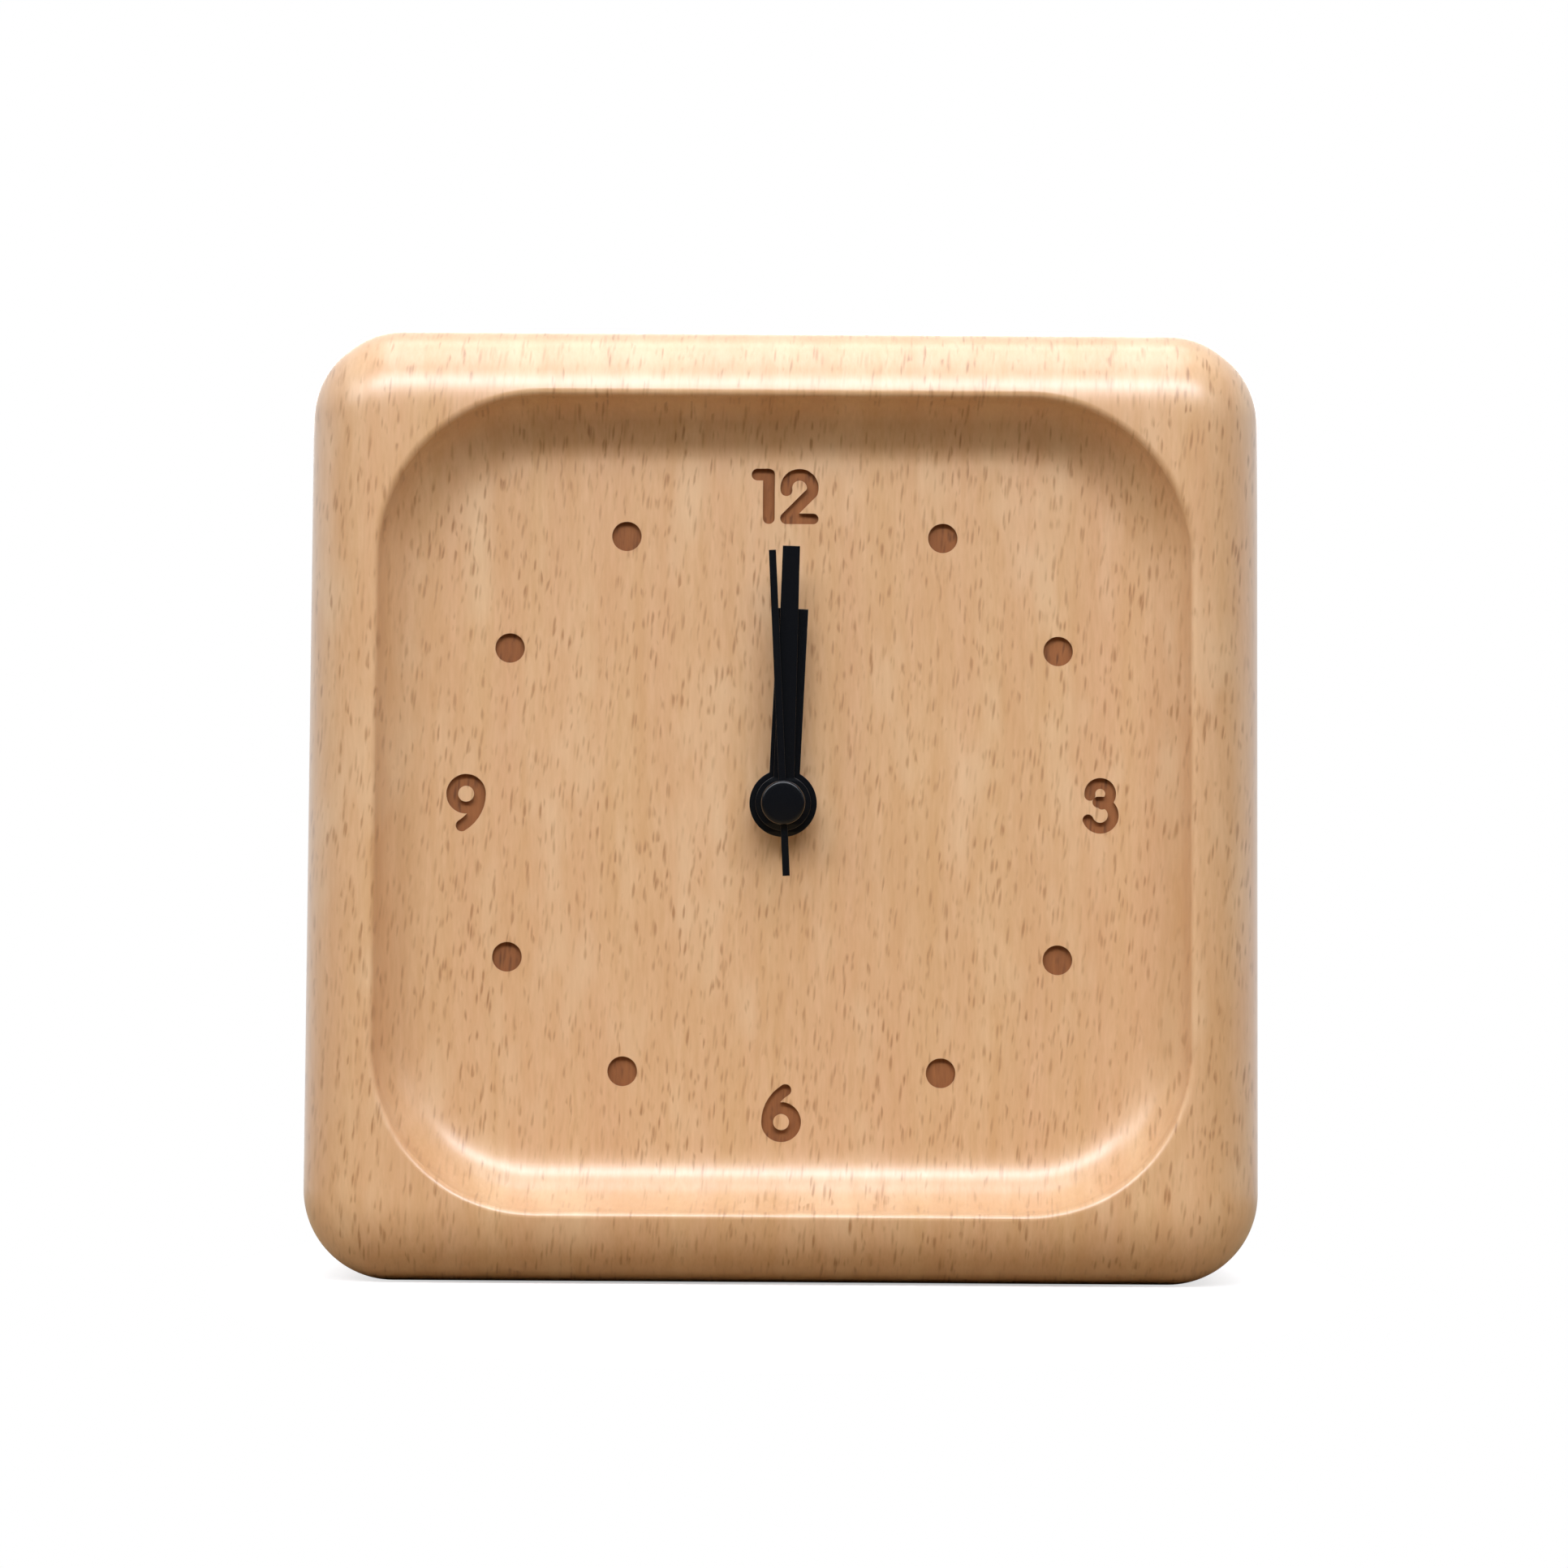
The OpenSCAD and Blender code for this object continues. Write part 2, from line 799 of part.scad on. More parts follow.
// Countersunk head, grown by a gap where it is used as a cut.
module cover_screw_head(at, gap)
    turned(at)
    polygon([[0, cover_out_y - cover_head_h], [cover_screw_r + gap, cover_out_y - cover_head_h],
        [cover_head_r + gap, cover_out_y], [cover_head_r + gap, cover_out_y + gap],
        [0, cover_out_y + gap]]);

module cross_slot(at, length, width, y0, y1)
    between(y0, y1)
    from_axis(at)
    for (a = [0, 90])
        rotate(a)
        square([length, width], center = true);

module rear_cover_screws()
    color("silver")
    for (at = cover_screw_places())
        difference()
        {
            union()
            {
                cover_screw_body(at);
                cover_screw_head(at, 0);
            }
            cross_slot(at, 2 * cover_screw_r, slot_w, cover_out_y - slot_depth * 2, cover_out_y + over);
        }

well_depth = well_depth_share * (cover_out_y - move_rear_y);
well_in_y = cover_out_y - well_depth;
well_floor_y = well_in_y - well_wall;
door_y0 = cover_out_y - door_t;
door_half_w = chute_w / 2 + door_lip;

// Ring of small holes with one in the middle.
module sound_holes()
{
    circle(sound_hole_d / 2);
    for (i = [1:sound_hole_count])
        rotate(360 * i / sound_hole_count)
        translate([sound_ring_r, 0])
        circle(sound_hole_d / 2);
}

module door_outline(gap)
    from_axis([0, (chute_top + chute_bottom) / 2])
    round_box(2 * door_half_w + 2 * gap, chute_top - chute_bottom + 2 * door_lip + 2 * gap,
        door_corner_r + gap);

module switch_slot(length, width)
    from_axis(switch_at)
    square([length, width], center = true);

module rear_cover()
    color("dimgray")
    difference()
    {
        union()
        {
            between(ledge_y, cover_out_y)
                from_axis()
                round_box(cover_w, cover_w, cover_corner_r);
            for (at = [alarm_at, time_at])
                disc(well_d / 2 + well_wall, well_floor_y, cover_out_y, at);
            between(move_rear_y + chute_end_gap, ledge_y + over)
                from_axis([0, (chute_top + chute_bottom) / 2])
                square([chute_w, chute_top - chute_bottom], center = true);
        }
        for (at = [alarm_at, time_at])
        {
            disc(well_d / 2, well_in_y, cover_out_y + over, at);
            disc(stem_d / 2 + shaft_pass_gap, well_floor_y - over, cover_out_y, at);
        }
        between(move_rear_y, cover_out_y + over)
            from_axis([0, (chute_top + chute_bottom) / 2])
            square([chute_w - 2 * well_wall, chute_top - chute_bottom - 2 * well_wall], center = true);
        between(door_y0 - hair_gap, cover_out_y + over)
            door_outline(seat_gap);
        between(ledge_y - over, cover_out_y + over)
            from_axis(buzzer_at)
            sound_holes();
        between(cover_out_y - switch_recess_depth, cover_out_y + over)
            switch_slot(switch_l + switch_travel + switch_recess_pad, switch_w + switch_recess_pad);
        between(ledge_y - over, cover_out_y)
            switch_slot(switch_guide_l / 2 + switch_travel + switch_recess_pad, switch_slot_w);
        for (at = cover_screw_places())
        {
            disc(cover_screw_r + hair_gap, ledge_y - over, cover_out_y, at);
            cover_screw_head(at, hair_gap);
        }
    }

module battery_cover()
    color("dimgray")
    difference()
    {
        union()
        {
            between(door_y0, cover_out_y)
                door_outline(0);
            for (sz = [chute_top, chute_bottom])
                let (inward = sz == chute_top ? -1 : 1)
                between(door_y0 - door_rib_h, door_y0)
                from_axis([0, sz + inward * (well_wall + seat_gap + door_rib_t / 2)])
                square([chute_w / 2, door_rib_t], center = true);
        }
        between(door_y0 + door_t / 2, cover_out_y + over)
            from_axis([0, chute_top])
            round_box(door_notch_w, door_notch_d, door_notch_d / 2 - over);
    }

// Outer outline of the shells: the wheels' room above the partition, the battery bay below it.
module movement_outline()
    from_axis()
    {
        open_box(move_w / 2, bay_top, move_above, 2 * shell_wall, bay_top);
        open_box(bay_half_w + shell_wall, -move_below, partition_top, 2 * shell_wall, partition_top);
    }

// Outlines of the two rooms inside the walls, with the partition between them.
module movement_rooms()
    from_axis()
    {
        open_box(inside_half_w, partition_top, move_above - shell_wall, shell_wall, partition_top);
        open_box(bay_half_w, bay_bottom, bay_top, shell_wall, bay_top);
    }

// A round-cornered box whose corners are square at one of its ends.
module open_box(half_w, low, high, r, square_end)
{
    edge_box(-half_w, half_w, low, high, r);
    translate([-half_w, square_end == low ? low : high - 2 * r])
        square([2 * half_w, 2 * r]);
}

third_boss_y = centre_y0 - level_gap - hair_gap;
transfer_post_y = centre_y0 - hair_gap;
idler_post_y = alarm_y1 + contact_space / 2;
transfer_pinion_y0 = hour_y0 - pinion_overlap;
alarm_strip_y = alarm_y1 + contact_space / 3;

module movement_front_shell()
    color("ivory")
    difference()
    {
        union()
        {
            difference()
            {
                between(move_front_y, split_y)
                    movement_outline();
                between(inside_front_y, split_y + over)
                    movement_rooms();
            }
            disc(bush_r, dial_y + bush_sink, move_front_y + shell_floor);
            for (at = mount_screw_places())
                let (inward = at[0] > 0 ? -1 : 1)
                between(move_front_y, move_front_y + ear_t)
                from_axis([at[0] + inward * ear_overlap / 2, at[1]])
                round_box(ear_l + ear_overlap, ear_w, ear_r);
            for (at = plate_posts)
                disc(post_r, move_front_y, plate_y0, at);
            for (at = board_posts)
                disc(post_r - hair_gap, move_front_y, board_y0, at);
            for (x = [core_left, core_right])
                disc(post_r, move_front_y, seconds_y0, [x, coil_z]);
            for (at = shell_posts)
                disc(shell_post_r, move_front_y, split_y, at);
            disc(front_boss_r, move_front_y, third_boss_y, third_at);
            disc(front_boss_r, move_front_y, transfer_pinion_y0 - hair_gap, transfer_at);
            disc(stud_r, move_front_y, transfer_post_y, transfer_at);
            disc(stud_r, move_front_y, idler_post_y, idler_at);
            disc(front_boss_r, move_front_y, alarm_y0 - hair_gap, idler_at);
            disc(post_r, move_front_y, alarm_strip_y, alarm_post_at);
        }
        disc(alarm_tube_r + running_gap, dial_y, inside_front_y + over);
        for (at = mount_screw_places())
            disc(mount_screw_r + hair_gap, move_front_y - over, move_front_y + ear_t + over, at);
        for (at = plate_posts)
            disc(inner_screw_r, plate_y1 - inner_screw_l, plate_y0 + over, at);
        for (at = board_posts)
            disc(inner_screw_r, board_y1 - inner_screw_l, board_y0 + over, at);
        for (x = [core_left, core_right])
            disc(inner_screw_r, core_y1 - inner_screw_l, seconds_y0 + over, [x, coil_z]);
        for (at = shell_posts)
            disc(shell_screw_r, split_y - shell_screw_bite, split_y + over, at);
        disc(arbor_r + running_gap, third_boss_y - pivot_bite, third_boss_y + over, third_at);
        for (at = [alarm_at, time_at])
            disc(pivot_r + running_gap, inside_front_y - pivot_depth, inside_front_y + over, at);
    }

head_seat_y = move_rear_y - shell_head_h;
intermediate_boss_y = intermediate_y1 + wide_gap;
rear_pivot_end = inside_rear_y - hair_gap;

module movement_rear_shell()
    color("ivory")
    difference()
    {
        union()
        {
            difference()
            {
                between(split_y, move_rear_y)
                    movement_outline();
                between(split_y - over, inside_rear_y)
                    movement_rooms();
                between(split_y - over, move_rear_y + over)
                    from_axis([0, (bay_top + bay_bottom) / 2])
                    square([2 * bay_half_w, bay_top - bay_bottom], center = true);
            }
            for (at = shell_posts)
                disc(shell_post_r, split_y, move_rear_y, at);
            for (at = [axis_at, intermediate_at, rotor_at])
                disc(boss_r, intermediate_boss_y, inside_rear_y + over, at);
        }
        for (at = shell_posts)
        {
            disc(shell_screw_r + hair_gap, split_y - over, move_rear_y, at);
            disc(shell_head_r + hair_gap, head_seat_y, move_rear_y + over, at);
        }
        disc(seconds_arbor_r + running_gap, intermediate_boss_y - over, rear_pivot_end, axis_at);
        for (at = [intermediate_at, rotor_at])
            disc(arbor_r + running_gap, intermediate_boss_y - over, rear_pivot_end, at);
        for (at = [alarm_at, time_at])
            disc(knob_shaft_r + running_gap, inside_rear_y - over, move_rear_y + over, at);
        between(inside_rear_y - over, move_rear_y + over)
            from_axis(buzzer_at)
            sound_holes();
        between(inside_rear_y - over, move_rear_y + over)
            switch_slot(tongue_l + switch_travel + 2 * loose_gap + over, tongue_w + 2 * loose_gap);
        for (sx = [-1, 1])
            between(board_y1 - hair_gap, board_y1 + contact_strip_w + hair_gap)
            from_axis([sx * strip_x, (partition_top + bay_top) / 2])
            square([2 * (contact_t + hair_gap), partition_t + over], center = true);
    }

module movement_mount_screws()
    color("silver")
    for (at = mount_screw_places())
        difference()
        {
            union()
            {
                disc(mount_screw_r, mount_tip_y, move_front_y + ear_t, at);
                disc(mount_head_r, move_front_y + ear_t, move_front_y + ear_t + mount_head_h, at);
            }
            cross_slot(at, 2 * mount_screw_r, slot_w, move_front_y + ear_t + mount_head_h - slot_depth * 2,
                move_front_y + ear_t + mount_head_h + over);
        }

module shell_screws()
    color("silver")
    for (at = shell_posts)
        difference()
        {
            union()
            {
                disc(shell_screw_r, split_y - shell_screw_bite, head_seat_y, at);
                disc(shell_head_r, head_seat_y, move_rear_y, at);
            }
            cross_slot(at, 2 * shell_screw_r, slot_w, move_rear_y - slot_depth * 2, move_rear_y + over);
        }

module middle_plate()
    color("whitesmoke")
    difference()
    {
        between(plate_y0, plate_y1)
            translate([0, axis_z])
            edge_box(plate_left, plate_right, plate_low, plate_high, plate_corner_r);
        for (at = plate_posts)
            disc(inner_screw_r + hair_gap, plate_y0 - over, plate_y1 + over, at);
        disc(seconds_pinion_teeth * third_module / 2 + tip_reach_share * third_module + loose_gap,
            plate_y0 - over, plate_y1 + over);
        for (at = [third_at, intermediate_at, rotor_at])
            disc(arbor_r + running_gap, plate_y0 - over, plate_y1 + over, at);
        for (at = [alarm_at, time_at])
            disc(knob_shaft_r + shaft_pass_gap, plate_y0 - over, plate_y1 + over, at);
    }

// One small pan-head screw whose head sits on face_y.
module inner_screw(at, face_y, length)
    difference()
    {
        union()
        {
            disc(inner_screw_r, face_y - length, face_y, at);
            disc(inner_head_r, face_y, face_y + inner_head_h, at);
        }
        cross_slot(at, 2 * inner_screw_r, slot_w, face_y + inner_head_h - slot_depth,
            face_y + inner_head_h + over);
    }

module inner_screws()
    color("silver")
    {
        for (at = plate_posts)
            inner_screw(at, plate_y1, inner_screw_l);
        for (at = board_posts)
            inner_screw(at, board_y1, inner_screw_l);
        for (x = [core_left, core_right])
            inner_screw([x, coil_z], core_y1, inner_screw_l);
    }

module alarm_wheel()
    color("white")
    difference()
    {
        union()
        {
            toothed(alarm_teeth, alarm_module, 0, alarm_y0, alarm_y1);
            disc(alarm_tube_r, alarm_tube_end, alarm_y1);
        }
        disc(hour_tube_r + running_gap, alarm_tube_end - over, alarm_y1 + over);
    }

module alarm_idler()
    color("white")
    difference()
    {
        toothed(idler_teeth, alarm_module, idler_phase, alarm_y0, alarm_y1, idler_at);
        disc(stud_r + running_gap, alarm_y0 - over, alarm_y1 + over, idler_at);
    }

// A knob's shaft from its pivot in the front shell to the knob.
knob_y0 = well_in_y + knob_seat_gap;
knob_y1 = cover_out_y - knob_inset;
knob_h = knob_y1 - knob_y0;
shaft_end_y = knob_y0 + knob_h / 2;
module knob_shaft(at, pinion_y0)
{
    disc(pivot_r, inside_front_y - pivot_depth + running_gap, pinion_y0 + wheel_t, at);
    disc(knob_shaft_r, pinion_y0 + wheel_t / 2, shaft_end_y, at);
}

module alarm_shaft()
    color("white")
    {
        knob_shaft(alarm_at, alarm_y0);
        toothed(alarm_pinion_teeth, alarm_module, alarm_phase, alarm_y0, alarm_y1, alarm_at);
    }

module time_shaft()
    color("white")
    {
        knob_shaft(time_at, transfer_y0);
        toothed(time_pinion_teeth, cannon_module, time_phase, transfer_y0, transfer_y1, time_at);
    }

// A grooved knob with a stem towards the movement.
module knob(at)
    difference()
    {
        union()
        {
            disc(stem_d / 2, move_rear_y + wide_gap, knob_y0 + over, at);
            turned(at)
                polygon([[0, knob_y0], [knob_d / 2, knob_y0], [knob_d / 2, knob_y1 - knob_edge_r],
                    [knob_d / 2 - knob_edge_r, knob_y1], [0, knob_y1]]);
        }
        for (i = [1:knob_grooves])
            disc(knob_groove_r, knob_y0 - over, knob_y1 + over,
                toward(at, 360 * i / knob_grooves, knob_d / 2 + knob_groove_r / 2));
        disc(knob_shaft_r, move_rear_y, shaft_end_y, at);
    }

module alarm_knob()
    color("dimgray")
    knob(alarm_at);

module time_knob()
    color("dimgray")
    knob(time_at);

// Turns a hand drawn upright to its place at rest.
module hand_at(angle, y0, y1)
    between(y0, y1)
    from_axis()
    rotate(-angle)
    children();

module flat_hand(length, tip_w, base_w)
    polygon([[-base_w / 2, 0], [base_w / 2, 0], [tip_w / 2, length], [-tip_w / 2, length]]);

module alarm_hand()
    color("black")
    hand_at(hour_angle, alarm_hand_y, alarm_hand_y + hand_t)
    difference()
    {
        union()
        {
            flat_hand(alarm_hand_l, alarm_hand_w, alarm_hand_w);
            circle(alarm_hub_d / 2);
        }
        circle(alarm_tube_r);
    }

module hour_wheel()
    color("white")
    difference()
    {
        union()
        {
            toothed(hour_teeth, hour_module, hour_phase, hour_y0, hour_y1);
            disc(hour_tube_r, hour_tube_end, hour_y1);
        }
        disc(centre_tube_r + running_gap, hour_tube_end - over, hour_y1 + over);
    }

module hour_hand()
    color("black")
    hand_at(hour_angle, hour_hand_y, hour_hand_y + hand_t)
    difference()
    {
        union()
        {
            flat_hand(hour_hand_l, hour_hand_w, hour_hand_w);
            circle(hour_hub_d / 2);
        }
        circle(hour_tube_r);
    }

module transfer_wheel()
    color("white")
    difference()
    {
        union()
        {
            toothed(transfer_teeth, cannon_module, transfer_phase, transfer_y0, transfer_y1, transfer_at);
            toothed(transfer_pinion_teeth, hour_module, 0, transfer_pinion_y0, transfer_y0, transfer_at);
        }
        disc(stud_r + running_gap, transfer_pinion_y0 - over, transfer_y1 + over, transfer_at);
    }

cannon_y0 = hour_y1 + hair_gap;
module centre_wheel()
    color("white")
    difference()
    {
        union()
        {
            toothed(centre_teeth, centre_module, centre_phase, centre_y0, centre_y1);
            toothed(cannon_teeth, cannon_module, 0, cannon_y0, centre_y0);
            disc(centre_tube_r, centre_tube_end, centre_y0);
        }
        disc(seconds_arbor_r + running_gap, centre_tube_end - over, centre_y1 + over);
    }

module minute_hand()
    color("black")
    hand_at(minute_angle, minute_hand_y, minute_hand_y + hand_t)
    difference()
    {
        union()
        {
            flat_hand(minute_hand_l, minute_tip_w, minute_base_w);
            circle(minute_hub_d / 2);
        }
        circle(centre_tube_r);
    }

third_pinion_y0 = centre_y0 - level_gap / 2;
module third_wheel()
    color("white")
    {
        toothed(third_teeth, third_module, third_phase, third_y0, third_y1, third_at);
        toothed(third_pinion_teeth, centre_module, 0, third_pinion_y0, third_y0, third_at);
        disc(arbor_r, third_boss_y - pivot_bite + running_gap, plate_y0 + plate_bite, third_at);
    }

seconds_pinion_y0 = centre_y1 + seat_gap;
module seconds_wheel()
    color("white")
    {
        toothed(seconds_teeth, seconds_module, seconds_phase, seconds_y0, seconds_y1);
        toothed(seconds_pinion_teeth, third_module, 0, seconds_pinion_y0, plate_y0);
        disc(seconds_arbor_r, seconds_arbor_end, rear_pivot_end - hair_gap);
    }

module second_hand()
    color("black")
    hand_at(second_angle, second_hand_y, second_hand_y + hand_t)
    difference()
    {
        union()
        {
            translate([-second_hand_w / 2, -second_tail_l])
                square([second_hand_w, second_tail_l + second_hand_l]);
            circle(second_hub_d / 2);
        }
        circle(seconds_arbor_r);
    }

// A shallow cap that covers the hub and the end of the arbor.
module second_hand_cap()
    color("black")
    difference()
    {
        turned()
            polygon([[0, second_hand_y - cap_h], [second_cap_d / 2 - cap_wall, second_hand_y - cap_h],
                [second_cap_d / 2, second_hand_y - cap_h + cap_wall], [second_cap_d / 2, second_hand_y],
                [0, second_hand_y]]);
        disc(seconds_arbor_r, seconds_arbor_end, second_hand_y + over);
    }

intermediate_pinion_y0 = seconds_y0 - hair_gap;
module intermediate_wheel()
    color("white")
    {
        toothed(intermediate_teeth, rotor_module, intermediate_phase, intermediate_y0, intermediate_y1,
            intermediate_at);
        toothed(intermediate_pinion_teeth, seconds_module, 0, intermediate_pinion_y0, intermediate_y0,
            intermediate_at);
        disc(arbor_r, plate_y1 - plate_bite, rear_pivot_end - hair_gap, intermediate_at);
    }

magnet_y0 = seconds_y0 - hair_gap;
magnet_y1 = magnet_y0 + magnet_t;
module rotor_arbor()
    color("white")
    {
        toothed(rotor_teeth, rotor_module, 0, magnet_y1, intermediate_y1 + hair_gap, rotor_at);
        disc(arbor_r, plate_y1 - plate_bite, rear_pivot_end - hair_gap, rotor_at);
    }

module rotor_magnet()
    color("slategray")
    difference()
    {
        disc(magnet_r, magnet_y0, magnet_y1, rotor_at);
        disc(arbor_r, magnet_y0 - over, magnet_y1 + over, rotor_at);
    }

module stator()
    color("gray")
    difference()
    {
        between(seconds_y0, seconds_y0 + stator_t)
            from_axis()
            {
                translate(rotor_at)
                    circle(stator_ring_r);
                for (x = [core_left, core_right])
                {
                    bar(rotor_at, [x, stator_elbow_z], stator_leg_w);
                    bar([x, stator_elbow_z], [x, coil_z], stator_leg_w);
                }
            }
        disc(magnet_r + magnet_gap, seconds_y0 - over, seconds_y0 + stator_t + over, rotor_at);
        for (x = [core_left, core_right])
            disc(inner_screw_r + hair_gap, seconds_y0 - over, core_y1 + over, [x, coil_z]);
    }

module coil_core()
    color("gray")
    difference()
    {
        between(core_y0, core_y1)
            from_axis()
            bar([core_left, coil_z], [core_right, coil_z], core_w);
        for (x = [core_left, core_right])
            disc(inner_screw_r + hair_gap, core_y0 - over, core_y1 + over, [x, coil_z]);
    }

core_mid_y = (core_y0 + core_y1) / 2;
// A ring along X about the coil's middle line.
module coil_tube(r, x0, x1)
    translate([x0, core_mid_y, axis_z + coil_z])
    rotate([0, 90, 0])
    cylinder(r = r, h = x1 - x0);

module coil_bobbin()
    color("tan")
    difference()
    {
        union()
        {
            coil_tube(bobbin_r, coil_left, coil_right);
            coil_tube(bobbin_flange_r, coil_left, coil_left + bobbin_flange_t);
            coil_tube(bobbin_flange_r, coil_right - bobbin_flange_t, coil_right);
        }
        between(core_y0, core_y1)
            from_axis([(core_left + core_right) / 2, coil_z])
            square([core_right - core_left, core_w], center = true);
    }

module coil_winding()
    color("peru")
    difference()
    {
        coil_tube(coil_r, coil_left + bobbin_flange_t, coil_right - bobbin_flange_t);
        coil_tube(bobbin_r, coil_left, coil_right);
    }

module circuit_board()
    color("darkgreen")
    difference()
    {
        between(board_y0, board_y1)
            translate([0, axis_z])
            edge_box(board_left, board_right, board_low, board_high, board_corner_r);
        for (at = board_posts)
            disc(inner_screw_r + hair_gap, board_y0 - over, board_y1 + over, at);
        disc(knob_shaft_r + shaft_pass_gap, board_y0 - over, board_y1 + over, alarm_at);
    }

module timing_crystal()
    color("silver")
    translate([crystal_at[0], board_y1 + crystal_base_r, axis_z + crystal_at[1] - crystal_l / 2])
    {
        cylinder(r = crystal_r, h = crystal_l);
        cylinder(r = crystal_base_r, h = crystal_base_l);
    }

// A low dome of resin over the chip.
chip_sphere_r = (chip_r * chip_r + chip_h * chip_h) / (2 * chip_h);
module chip_cover()
    color("black")
    intersection()
    {
        translate([chip_at[0], board_y1 + chip_h - chip_sphere_r, axis_z + chip_at[1]])
            sphere(chip_sphere_r);
        disc(chip_sphere_r, board_y1, board_y1 + 2 * chip_h, chip_at);
    }

module alarm_contact_spring()
    color("goldenrod")
    {
        between(alarm_strip_y, alarm_strip_y + alarm_strip_t)
            from_axis()
            bar(alarm_post_at, alarm_tip_at, alarm_strip_w);
        between(alarm_strip_y, board_y0)
            from_axis(alarm_post_at)
            square([alarm_strip_w, alarm_strip_t], center = true);
    }

module buzzer()
    color("black")
    difference()
    {
        disc(buzzer_d / 2, board_y1, board_y1 + buzzer_h, buzzer_at);
        disc(buzzer_vent_d / 2, board_y1 + buzzer_h - buzzer_vent_depth, board_y1 + buzzer_h + over,
            buzzer_at);
    }

tongue_end_y = board_y1 + finger_h + seat_gap;
switch_rest_x = switch_at[0] - switch_travel / 2;
module switch_block(length, width, y0, y1)
    between(y0, y1)
    from_axis([switch_rest_x, switch_at[1]])
    square([length, width], center = true);

// Sliding button with ribs on top, a guide under the cover and a long tongue.
module alarm_switch()
    color("white")
    {
        cap_y0 = cover_out_y - switch_recess_depth + hair_gap;
        switch_block(switch_l, switch_w, cap_y0, cap_y0 + switch_cap_h - switch_rib_h);
        for (i = [1:switch_rib_count])
            between(cap_y0 + switch_cap_h - switch_rib_h, cap_y0 + switch_cap_h)
            from_axis([switch_rest_x + (i - (switch_rib_count + 1) / 2) * 4 * switch_rib_w, switch_at[1]])
            square([switch_rib_w, switch_w - 2 * switch_rib_w], center = true);
        switch_block(tongue_l, tongue_w, tongue_end_y, cap_y0);
        switch_block(switch_guide_l, switch_guide_w, ledge_y - hair_gap - switch_guide_t, ledge_y - hair_gap);
    }

module switch_contact()
    color("goldenrod")
    {
        between(board_y1, board_y1 + contact_t)
            switch_slot(switch_contact_l, switch_contact_w);
        for (sx = [-1, 1])
            between(board_y1, board_y1 + finger_h)
            from_axis([switch_at[0] + sx * switch_travel / 2, switch_at[1]])
            square([finger_l, switch_contact_w], center = true);
    }

// A round cell lying along X with its button to the right.
module battery()
    color("seagreen")
    translate([0, cell_y, axis_z + cell_z])
    rotate([0, 90, 0])
    rotate_extrude()
    polygon([[0, cell_left], [cell_d / 2 - cell_edge_r, cell_left], [cell_d / 2, cell_left + cell_edge_r],
        [cell_d / 2, cell_right - nub_l - cell_edge_r], [cell_d / 2 - cell_edge_r, cell_right - nub_l],
        [nub_d / 2, cell_right - nub_l], [nub_d / 2, cell_right], [0, cell_right]]);

// A contact plate on an end wall of the bay, with a strip up past the partition.
module contact_plate(side)
    translate([side > 0 ? bay_half_w - contact_t : -bay_half_w, 0, axis_z])
    {
        translate([0, cell_y - contact_w / 2, cell_z - contact_h / 2])
            cube([contact_t, contact_w, contact_h]);
        translate([0, board_y1, cell_z])
            cube([contact_t, contact_strip_w, bay_top - cell_z]);
        translate([side > 0 ? strip_x - bay_half_w : 0, board_y1, bay_top - contact_t])
            cube([bay_half_w - strip_x + contact_t, contact_strip_w, contact_t]);
        translate([-side * (bay_half_w - strip_x), board_y1, bay_top - contact_t])
            cube([contact_t, contact_strip_w, partition_t + 2 * contact_t]);
    }

module positive_contact()
    color("silver")
    {
        contact_plate(1);
        translate([bay_half_w - contact_t - hair_gap, cell_y, axis_z + cell_z])
            rotate([0, 90, 0])
            cylinder(r = dimple_r, h = contact_t);
        translate([positive_foot_x, board_y1, axis_z + partition_top])
            cube([strip_x - positive_foot_x, contact_strip_w, contact_t]);
        translate([positive_foot_x, board_y1, axis_z + partition_top])
            cube([contact_foot_w, contact_t, foot_reach]);
    }

// Wire of the battery spring: a cone-shaped coil from the plate to the cell.
spring_x0 = -bay_half_w + contact_t + spring_wire_r / 2;
spring_x1 = cell_left - spring_wire_r - running_gap;
spring_rings = spring_turns * spring_rings_per_turn;
function spring_point(i) =
    let (
        t = i / spring_rings,
        a = 360 * spring_turns * t,
        r = spring_big_r + (spring_small_r - spring_big_r) * t
    )
    [spring_x0 + (spring_x1 - spring_x0) * t, r * cos(a), r * sin(a)];
function spring_ring(i) =
    let (
        a = 360 * spring_turns * i / spring_rings,
        out = [0, cos(a), sin(a)]
    )
    [for (k = [0:spring_sides - 1])
        let (b = 360 * k / spring_sides)
        spring_point(i) + spring_wire_r * (cos(b) * out + sin(b) * [1, 0, 0])];

module battery_spring()
    translate([0, cell_y, axis_z + cell_z])
    polyhedron(
        points = [for (i = [0:spring_rings]) each spring_ring(i)],
        faces = concat(
            [[for (k = [0:spring_sides - 1]) spring_sides - 1 - k]],
            [for (i = [0:spring_rings - 1], k = [0:spring_sides - 1])
                let (
                    n = (k + 1) % spring_sides,
                    a = i * spring_sides,
                    b = (i + 1) * spring_sides
                )
                each [[a + k, a + n, b + n], [a + k, b + n, b + k]]],
            [[for (k = [0:spring_sides - 1]) spring_rings * spring_sides + k]]));

module negative_contact()
    color("silver")
    {
        contact_plate(-1);
        battery_spring();
        translate([-strip_x, board_y1, axis_z + partition_top])
            cube([contact_t, contact_strip_w, foot_reach]);
        translate([-strip_x, board_y1, axis_z + partition_top + foot_reach / 2])
            cube([strip_x + board_left + foot_reach / 2, contact_t, foot_reach / 2]);
    }

